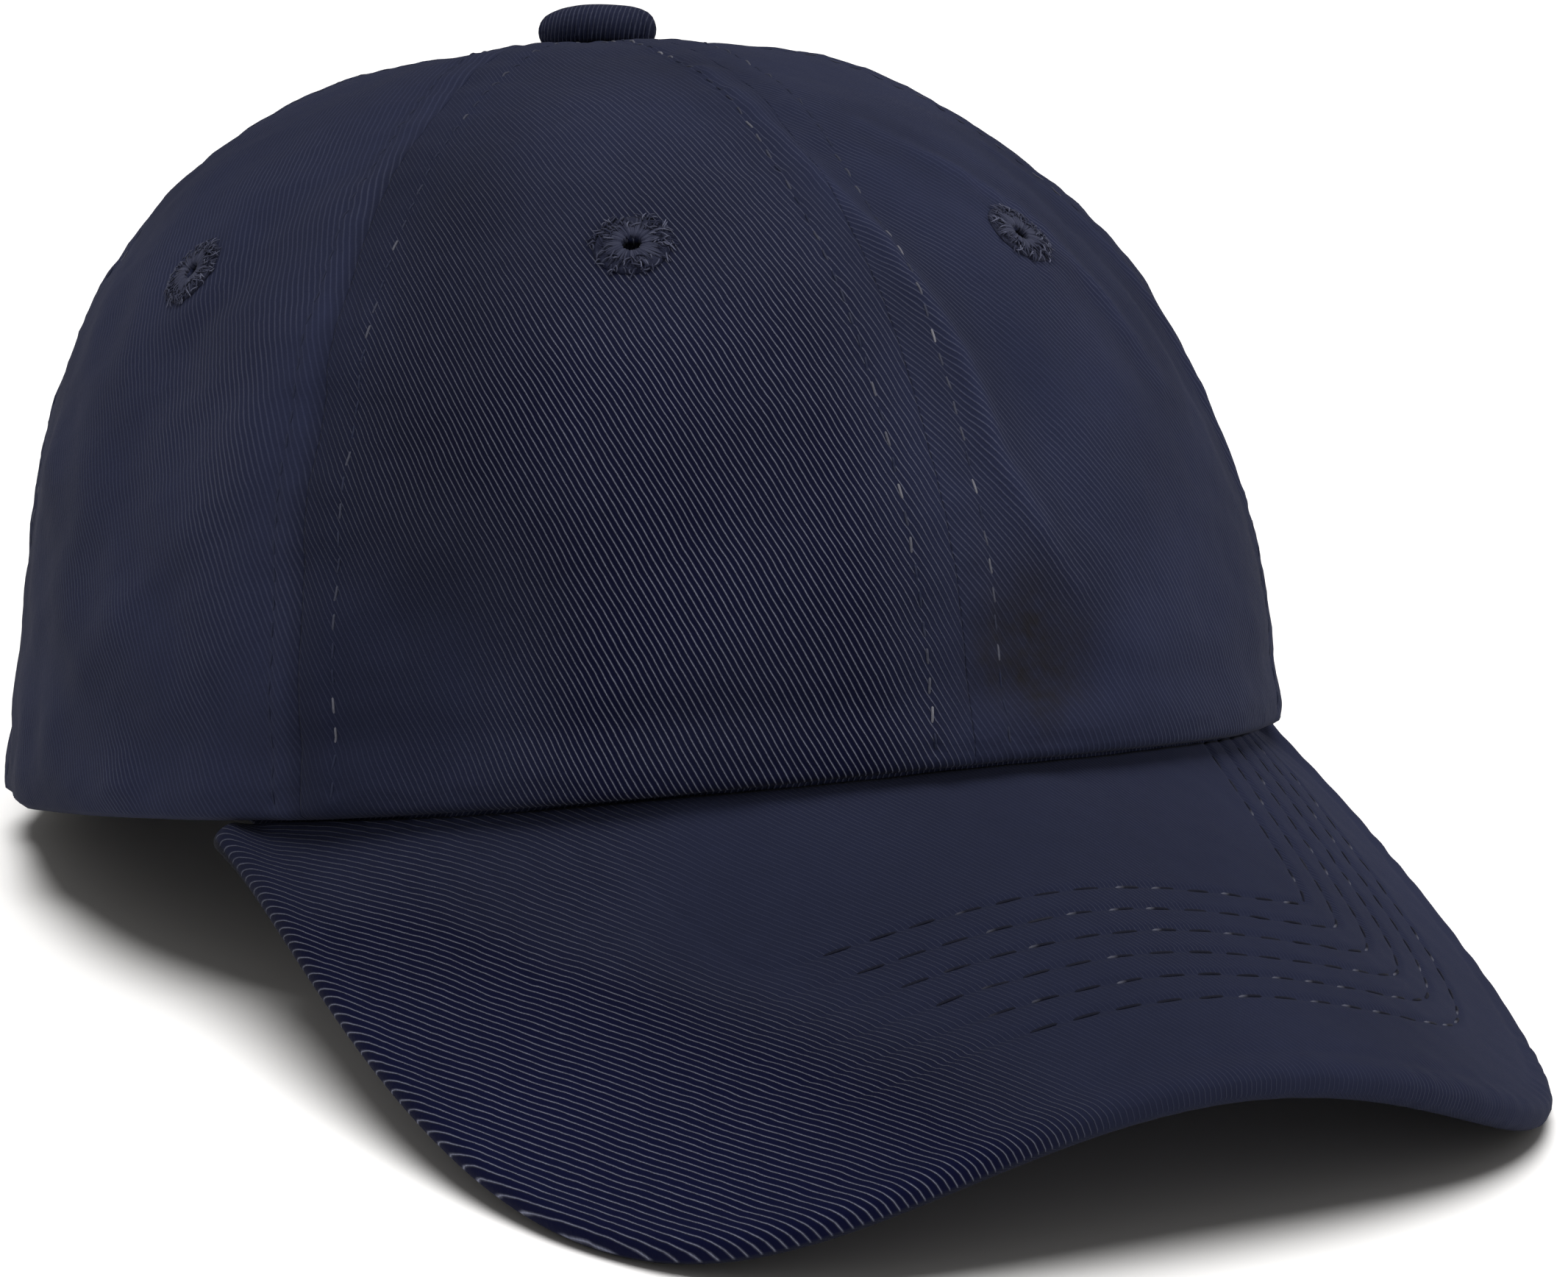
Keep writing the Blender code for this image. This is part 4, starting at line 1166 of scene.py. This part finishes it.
BINDING_STEPS = 260
BINDING_SIDES = 14
path, facing = arch_line(34.6 * MM, 54.6 * MM, 0.035, BINDING_STEPS, 0.55 * MM)
points, faces = tubes(path[None], facing[None], 1.15 * MM, 0.95 * MM, BINDING_SIDES)
steps = np.repeat(np.linspace(0, 150 * MM, BINDING_STEPS), BINDING_SIDES)
around = np.tile(np.arange(BINDING_SIDES) * 0.5 * MM, BINDING_STEPS)
binding = build("rear_arch_binding_cloth", points, faces, together(steps, around), tone=0 * steps)
finish_piece(binding, tape_cloth, "seam_tape", "crown", "rear_arch_binding")
sew(
    "arch_binding_stitches", [(path + facing * sign * 0.92 * MM, facing * sign) for sign in (1, -1)],
    seam_thread, "seam_tape", 540, pitch=2.9 * MM, length=2.2 * MM,
    radius=0.18 * MM, lift=0.03 * MM, sink=0.2 * MM,
)


# Strap and buckle


def around_strap(angle, radius, height):
    return together(radius * np.sin(angle), STRAP_AXIS_Y + radius * np.cos(angle), height)


def strap():
    angle = np.linspace(STRAP_SEWN_END, STRAP_FREE_END, 300)[:, None]
    level = (0.5 - 0.5 * np.cos(np.linspace(0, math.pi, 44)))[None] * STRAP_HEIGHT
    to_edge = np.minimum(level, STRAP_HEIGHT - level) + 0 * angle
    to_end = (STRAP_FREE_END - angle) * STRAP_RADIUS + 0 * level
    corner = np.clip(3 * MM - to_end, 0, None) ** 2 / (6 * MM) * bell(to_edge, 4 * MM)
    border = np.maximum(np.minimum(to_edge, to_end), 0)
    length = (angle - STRAP_SEWN_END) * STRAP_RADIUS
    ripple = 0.04 * MM * np.sin(2 * math.pi * length / (6.1 * MM)) * bell(to_edge - 1.8 * MM, 2.2 * MM)
    dimple = 0.16 * MM * bell(to_edge - STRAP_STITCH, 0.6 * MM)
    edge = roll(border, 0.7 * MM) * 0.95
    half = STRAP_THICKNESS / 2 - 0.05 * MM - edge - dimple
    bottom = STRAP_MIDDLE_Z - STRAP_HEIGHT / 2
    height = bottom + level + np.sign(STRAP_HEIGHT / 2 - level) * corner
    outer = around_strap(angle, STRAP_RADIUS + ripple + half, height)
    inner = around_strap(angle, STRAP_RADIUS + ripple - half, height)
    tone = 0.05 * np.sin(length / (9 * MM)) + 0 * level
    item = shell("strap_cloth", outer, inner, together(length, level), tone=tone)
    finish_piece(item, strap_cloth, "navy_twill", "strap", "strap")
    rows = []
    turn = np.linspace(STRAP_SEWN_END + 0.01, STRAP_FREE_END - 0.035, 260)
    out = around_strap(turn, 1.0, 0 * turn) - np.array((0, STRAP_AXIS_Y, 0))
    for offset in (STRAP_STITCH, STRAP_HEIGHT - STRAP_STITCH):
        for sign in (1, -1):
            radius = STRAP_RADIUS + sign * (STRAP_THICKNESS / 2 - 0.2 * MM)
            rows.append((around_strap(turn, radius, bottom + offset), sign * out))
    sew(
        "strap_stitches", rows, seam_thread, "navy_twill", 560, body="strap",
        pitch=3.1 * MM, length=2.4 * MM, radius=0.18 * MM, lift=0.02 * MM, sink=0.2 * MM,
    )


strap()

BUCKLE_SEAT = around_strap(np.array(BUCKLE_ANGLE), STRAP_RADIUS, np.array(STRAP_MIDDLE_Z))
BUCKLE_AXES = np.array(Matrix.Rotation(-BUCKLE_ANGLE, 3, "Z"))
PIN = np.array((-5.0, 3.0, 0)) * MM


def box(x, y, z, radius=0.25):
    """A box with rounded edges between pairs of limits in mm, in the buckle's own frame."""
    low, high = np.array((x, y, sorted(z))).T * MM
    cage = bmesh.new()
    bmesh.ops.create_cube(cage, size=1)
    for corner in cage.verts:
        corner.co = Vector((low + high) / 2 + np.array(corner.co) * (high - low))
    bmesh.ops.bevel(cage, geom=cage.edges[:], offset=radius * MM, segments=3, affect="EDGES", profile=0.5)
    points = np.array([corner.co for corner in cage.verts])
    faces = [[corner.index for corner in face.verts] for face in cage.faces]
    cage.free()
    return points, faces


def spool(half):
    """A lathed piece with like ends, from (radius, height) in mm over its upper half."""
    return lathe([(radius, -height) for radius, height in half] + list(half[::-1]))


def metal(node, parts, body="crown", offset=0.0):
    """Parts of the buckle as one piece, put in their place on the strap."""
    points, faces = joined(parts)
    placed = (points + offset) @ BUCKLE_AXES.T + BUCKLE_SEAT
    finish_piece(build(f"{node}_metal", placed, faces), nickel, "buckle_metal", body, node)


def buckle():
    top, lever = BUCKLE_TOP / MM, LEVER_TOP / MM
    parts = [box((-8, 8), (-2.3, -1.5), (-top, top))]
    for side in (-1, 1):
        parts.append(box((-8, -2), (-2.3, 5), (side * 9.6, side * top)))
        parts.append(box((6.8, 11), (-3.4, -1.8), (side * 8.15, side * top)))
    parts.append(box((9.8, 11), (-3.4, -2.6), (-top, top)))
    metal("buckle_frame", parts)
    metal("buckle_pin", [spool(((0.02, 10.7), (0.7, 10.7), (0.98, 10.4)))], offset=PIN)
    barrel = spool(((1.35, 9.0), (1.5, lever), (1.8, lever), (2.0, 9.0)))
    plate = box((1.5, 13), (-1.7, -0.5), (-lever, lever), 0.35)
    ribs = [box((8.2 + 1.3 * rib, 8.8 + 1.3 * rib), (-0.7, -0.15), (-7.5, 7.5), 0.2) for rib in range(3)]
    metal("buckle_lever", [barrel, plate, *ribs], "buckle_lever", PIN)


buckle()


def buckle_tab():
    """The loop of cloth that holds the buckle: from the back panel, round the buckle's bar, and back."""
    bar_depth, bend_radius = -2.6 * MM, 1.15 * MM
    bar = math.atan2(BUCKLE_TOP, STRAP_RADIUS + bar_depth)
    sewn, beside_bar = math.radians(19.5), bar + math.radians(2)
    bend = np.linspace(math.pi / 2, 3 * math.pi / 2, 24)
    loop = together(bar + bend_radius * np.cos(bend) / STRAP_RADIUS, bar_depth + bend_radius * np.sin(bend))
    before = [(sewn, -1.3 * MM), (beside_bar, -1.3 * MM)]
    after = [(beside_bar, -3.75 * MM), (sewn, -2.25 * MM)]
    route = np.concatenate((before, loop, after))
    steps = travelled(route * (STRAP_RADIUS, 1))
    even = np.linspace(0, steps[-1], 150)[:, None]
    turn, depth = np.interp(even, steps, route[:, 0]), np.interp(even, steps, route[:, 1])
    level = np.linspace(-1, 1, 26)[None]
    height = STRAP_MIDDLE_Z + level * 7.7 * MM
    middle = around_strap(BUCKLE_ANGLE + turn, STRAP_RADIUS + depth, height)
    half = 0.24 * MM - 0.1 * MM * smooth(0.9, 1.0, np.abs(level))
    shift = grid_normals(middle) * half[..., None]
    flat = together(even, height)
    item = shell("buckle_tab_cloth", middle - shift, middle + shift, flat, tone=0 * middle[..., 0])
    finish_piece(item, strap_cloth, "navy_twill", "crown", "buckle_tab")


buckle_tab()


# Button


def button_cover(columns=320):
    """Cloth gathered over a domed button: flat on top, pleated round the side and tucked under."""
    profile = np.array(
        (
            (0.02, 5.45), (1.2, 5.44), (2.6, 5.4), (4.2, 5.28), (5.4, 5.08), (6.4, 4.75), (7.2, 4.3),
            (7.75, 3.7), (8.05, 3.0), (8.15, 2.35), (8.05, 1.65), (7.8, 1.05), (7.3, 0.55), (6.7, 0.25),
            (5.6, 0.15), (5.6, 0.9), (6.6, 1.3), (7.1, 2.2), (7.1, 3.2), (6.3, 4.3), (4.2, 4.85), (0.02, 5.0),
        )
    ) * MM
    steps = travelled(profile)
    steps /= steps[-1]
    # What varies along the profile is a column, what varies round the button is a row.
    dense = np.linspace(0, 1, 120)[:, None]
    radius = np.interp(dense, steps, profile[:, 0])
    height = np.interp(dense, steps, profile[:, 1])
    turn = full_turn(columns)
    outer = smooth(0.62, 0.5, dense) * smooth(0.20, 0.34, dense)
    drift = 2.2 * np.sin(3 * turn + 1.0) + 1.4 * np.sin(7 * turn) + 0.9 * np.sin(19 * turn + 0.4)
    pleats = 0.7 * np.sin(66 * turn + drift + 3.0 * dense * np.sin(2 * turn))
    pleats += 0.5 * np.sin(41 * turn + 1.3 * drift - 2.0 * dense)
    uneven = 0.65 + 0.35 * np.sin(11 * turn + 0.7) * np.sin(5 * turn)
    swollen = radius + 0.15 * MM * outer * pleats * uneven
    lumps = 0.10 * MM * np.sin(2 * turn + 0.5) * smooth(0.5, 0.0, dense)
    points = together(swollen * np.cos(turn), swollen * np.sin(turn), height + lumps)
    flat = together(points[..., 0], points[..., 1] + height * 0.5)
    return *closed_ring(points), flat.reshape(-1, 2)


points, faces, flat = button_cover()
points = points * (1, 1, 1.06) + (0, 0, CROWN_HEIGHT - 0.7 * MM)
cover = build("button_cover_cloth", points, faces, flat, tone=np.full(len(points), 0.1))
finish_piece(cover, button_cloth, "navy_twill", "crown", "button_cover")
show_node("button_shell", steel)
show_node("button_rivet", steel)


# Visor


def visor_outline(across):
    turn = math.pi / 2 * (1 - across)
    x = VISOR_HALF_WIDTH * np.cos(turn) + VISOR_TAPER * np.cos(3 * turn)
    y = VISOR_CENTRE_Y - VISOR_REACH * np.sin(turn) - VISOR_REACH_ROUND * np.sin(3 * turn)
    return together(x, y, VISOR_SIDE_Z - VISOR_DROP * np.sin(turn) + VISOR_MIDDLE_RISE * np.sin(turn) ** 4)


def visor_root(across):
    point = crown_point(1.0, VISOR_HALF_ANGLE * across, VISOR_TUCK)
    return point - np.array((0, 0, VISOR_CROWN_GAP))


def visor_surface(columns, forward):
    """Grid of the visor's top face: rows run forward from the crown. With its normals."""
    across = np.linspace(-VISOR_SPAN, VISOR_SPAN, columns)
    root, edge = visor_root(across), visor_outline(across)
    points = root[None] + (edge - root)[None] * forward[:, None, None]
    return points, -grid_normals(points)


def visor_to_edge(points):
    """The square distance to the outline."""
    distance, where = nearest(points, OUTLINE)
    sample = np.rint(where * (len(OUTLINE) - 1)).astype(int)
    along = unit(np.gradient(OUTLINE, axis=0))[sample]
    aside = np.sum((points - OUTLINE[sample]) * along, axis=-1)
    return np.sqrt(np.maximum(distance**2 - aside**2, 0))


def visor_gathers(where, points):
    """Uneven gathers along the edge (where is from 0 to 1 along it), worn flat at the wearer's right."""
    ripple = np.sin(where * 434 + 2.5 * np.sin(where * 41)) * (0.6 + 0.4 * np.sin(where * 97))
    return ripple * smooth(-24 * MM, 6 * MM, points[..., 0])


OUTLINE = visor_outline(np.linspace(-1, 1, 700))


def visor_relief(points, edge):
    """Grooves under the rows of stitches, gathers along the edge and slow unevenness."""
    relief = 0.10 * MM * swell(points, 24 * MM, 61) + 0.035 * MM * swell(points, 5 * MM, 63)
    fresh = 0.22 + 0.78 * smooth(-48 * MM, -12 * MM, points[..., 0])
    beside = 1 - 0.45 * smooth(34 * MM, 58 * MM, points[..., 0])
    for distance in VISOR_ROWS:
        relief -= 0.42 * MM * fresh * beside * bell(edge - distance, 0.5 * MM)
    first, last = VISOR_ROWS[0], VISOR_ROWS[-1]
    relief += 0.10 * MM * fresh * smooth(first - 4 * MM, first, edge) * smooth(last + 4 * MM, last, edge)
    _, where = nearest(points, OUTLINE)
    relief += 0.09 * MM * visor_gathers(where, points) * bell(edge - 1.5 * MM, 2.6 * MM)
    return relief - 0.16 * MM * bell(edge - 4.2 * MM, 1.1 * MM)


def towards_corner(points):
    """How far a point lies towards the front corner at the wearer's right."""
    return -0.868 * points[..., 0] - 0.496 * points[..., 1]


def nap_on_visor(points):
    """The twill is clearest at the wearer's right front and worn smooth across the middle and the left."""
    x, y = points[..., 0] / MM, points[..., 1] / MM
    towards = towards_corner(points) / MM + 1.5 * swell(points, 18 * MM, 72)
    corner = smooth(85, 98, towards) * (0.45 + 0.55 * smooth(-55, -92, y))
    crown_side = 0.24 * smooth(-26, -44, x) * smooth(-112, -86, y)
    blotches = 0.04 * swell(points, 20 * MM, 71)
    return np.clip(0.06 + corner + crown_side + blotches, 0.04, 1.0)


def visor_outward(grid, normal):
    """Square to the visor's outline, in its surface."""
    return unit(np.cross(np.gradient(grid[-1], axis=0), normal[-1]))


def visor_cover():
    """The upper cover. Its rim rolls over and turns down round the board's edge."""
    forward = np.concatenate((np.linspace(0, 0.9, 132), np.linspace(0.9, 1, 24)[1:]))
    columns = 330
    grid, normal = visor_surface(columns, forward)
    edge = visor_to_edge(grid)
    top = grid + normal * visor_relief(grid, edge)[..., None] - normal * roll(edge, VISOR_RIM)[..., None]
    last, last_normal = grid[-1], normal[-1]
    outward = visor_outward(grid, normal)
    gathers = visor_gathers(np.linspace(0, 1, columns), last)
    rim = []
    for angle in np.linspace(0, math.pi / 2, 9)[1:]:
        sink = VISOR_RIM * (1 + np.sin(angle))
        back = VISOR_RIM * (1 - np.cos(angle)) - 0.08 * MM * gathers * np.cos(angle)
        rim.append(last - last_normal * sink - outward * back[:, None])
    outer = np.concatenate((top, rim))
    inner = outer + grid_normals(outer) * VISOR_CLOTH
    extra = np.linspace(0, 7 * MM, len(rim))[:, None]
    flat = np.concatenate((grid[..., :2], together(last[:, 0], last[:, 1] - extra)))
    below = np.concatenate((np.zeros(len(top)), np.linspace(0.5, 1, len(rim))))[:, None] ** 0.5
    x, y = outer[..., 0], outer[..., 1]
    # The cover is made lighter at the wearer's right front corner and, as painted light, towards the wearer's
    # left; the turned-down rim gets painted shade at the wearer's right.
    corner = smooth(90 * MM, 108 * MM, towards_corner(outer)) * smooth(-66 * MM, -92 * MM, y)
    corner_and_lit_side = 0.4 * corner + 0.12 * smooth(-10 * MM, 20 * MM, x) + 0.35 * smooth(30 * MM, 74 * MM, x)
    shade = 0.78 * below * smooth(-8 * MM, -34 * MM, x)
    nap = nap_on_visor(outer) * (1 - 0.92 * below)
    tone = 0.05 * swell(outer, 30 * MM, 81) - shade + corner_and_lit_side
    outer, inner, flat, nap, tone = (part[:, ::-1] for part in (outer, inner, flat, nap, tone))
    item = shell("visor_top_cloth", outer, inner, flat, nap=nap, tone=tone)
    finish_piece(item, visor_cloth, "navy_twill", "crown", "visor_top_cover")
    return top, normal, edge


def worn_away(point):
    """Where no stitches show on the top: the wearer's right front corner and the cloth beside it."""
    return towards_corner(point) > 85 * MM or point[0] < -30 * MM


def visor_rows(surface, normal, edge, hidden=lambda point: False):
    """The stitch rows: each follows the edge at its own distance."""
    rows = []
    for distance in VISOR_ROWS:
        points, normals = [], []
        for column in range(0, surface.shape[1], 2):
            line = edge[:, column]
            if line.max() < distance:
                continue
            row = np.interp(-distance, -line, np.arange(len(line), dtype=float))
            where = (np.array([row]), np.array([column]))
            point = on_grid(surface, *where)[0]
            if not hidden(point):
                points.append(point)
                normals.append(on_grid(normal, *where)[0])
        rows.append((np.array(points), np.array(normals)))
    return rows


def visor_under():
    """The lower cover, drawn in a little from the edge."""
    grid, normal = visor_surface(180, np.linspace(0, 1, 80))
    edge = visor_to_edge(grid)
    relief = 0.06 * MM * swell(grid, 20 * MM, 91)
    for distance in VISOR_ROWS:
        relief -= 0.22 * MM * bell(edge - distance, 0.7 * MM)
    shift = visor_outward(grid, normal) * np.clip(1.9 * MM - edge, 0, None)[..., None]
    high = grid - normal * UNDER_DEPTH - shift
    low = high - normal * (VISOR_CLOTH + relief)[..., None]
    item = shell("visor_under_cloth", low, high, grid[..., :2], tone=0 * edge)
    finish_piece(item, under_cloth, "navy_twill", "crown", "visor_under_cover")
    return low, -normal, edge


sew(
    "visor_stitches_top", visor_rows(*visor_cover(), worn_away), visor_thread, "navy_twill", 300,
    pitch=VISOR_PITCH, length=VISOR_STITCH, pale_ends=True,
    radius=0.21 * MM, lift=0.02 * MM, sink=0.25 * MM,
)
sew(
    "visor_stitches_under", visor_rows(*visor_under()), visor_thread, "navy_twill", 400,
    pitch=VISOR_PITCH, length=VISOR_STITCH, radius=0.24 * MM, lift=0.03 * MM, sink=0.2 * MM,
)
show_node("visor_board", board_plastic)


# Floor, light and camera


bpy.ops.mesh.primitive_plane_add(size=30, location=(0, 0, 0))
floor = bpy.context.object
floor.name = "floor"
pale_floor = Shader("pale_floor", 0.9, specular=0.2)
pale_floor.colour(rgb(0.86, 0.85, 0.84))
floor.data.materials.append(pale_floor.material)


def lamp(name, kind, power, direction, place=(0, 0, 0)):
    """A light whose rays travel against this direction."""
    data = bpy.data.lights.new(name, kind)
    data.energy = power
    item = bpy.data.objects.new(name, data)
    item.location = place
    item.rotation_euler = Vector(direction).to_track_quat("Z", "Y").to_euler()
    bpy.context.scene.collection.objects.link(item)
    return item


def fill(name, place, size, power):
    """A soft lamp that points at the cap and lights nothing else."""
    item = lamp(name, "AREA", power, Vector(place) - Vector((0, 0, 0.05)), place)
    item.data.shape = "DISK"
    item.data.size = size
    item.light_linking.receiver_collection = cap_only


key = lamp("key", "SUN", 4.0, (-0.12, -0.10, 1.9))
key.data.angle = math.radians(44)
cap_only = bpy.data.collections.new("lit_by_fill")
for item in bpy.context.scene.objects:
    if item.type == "MESH" and item is not floor:
        cap_only.objects.link(item)
fill("fill_right", (1.5, -1.7, 0.8), 1.4, 45)
fill("fill_left", (-1.9, -0.5, 0.9), 1.2, 18)

world = bpy.data.worlds.new("studio")
world.use_nodes = True
sky = world.node_tree.nodes["Background"].inputs
sky["Color"].default_value = (1.0, 0.98, 0.95, 1.0)
sky["Strength"].default_value = 0.22
bpy.context.scene.world = world
bpy.context.scene.view_settings.view_transform = "Standard"

camera = bpy.data.objects.new("camera", bpy.data.cameras.new("camera"))
bpy.context.scene.collection.objects.link(camera)
flat = math.cos(VIEW_ELEVATION)
back = Vector((math.sin(VIEW_AZIMUTH) * flat, -math.cos(VIEW_AZIMUTH) * flat, math.sin(VIEW_ELEVATION)))
level = Vector((math.cos(VIEW_AZIMUTH), math.sin(VIEW_AZIMUTH), 0))
right = level * math.cos(VIEW_ROLL) + back.cross(level) * math.sin(VIEW_ROLL)
turn = Matrix((right, back.cross(right), back)).transposed().to_4x4()
camera.matrix_world = Matrix.Translation(VIEW_TARGET + back * VIEW_DISTANCE) @ turn
camera.data.lens = VIEW_LENS
bpy.context.scene.camera = camera
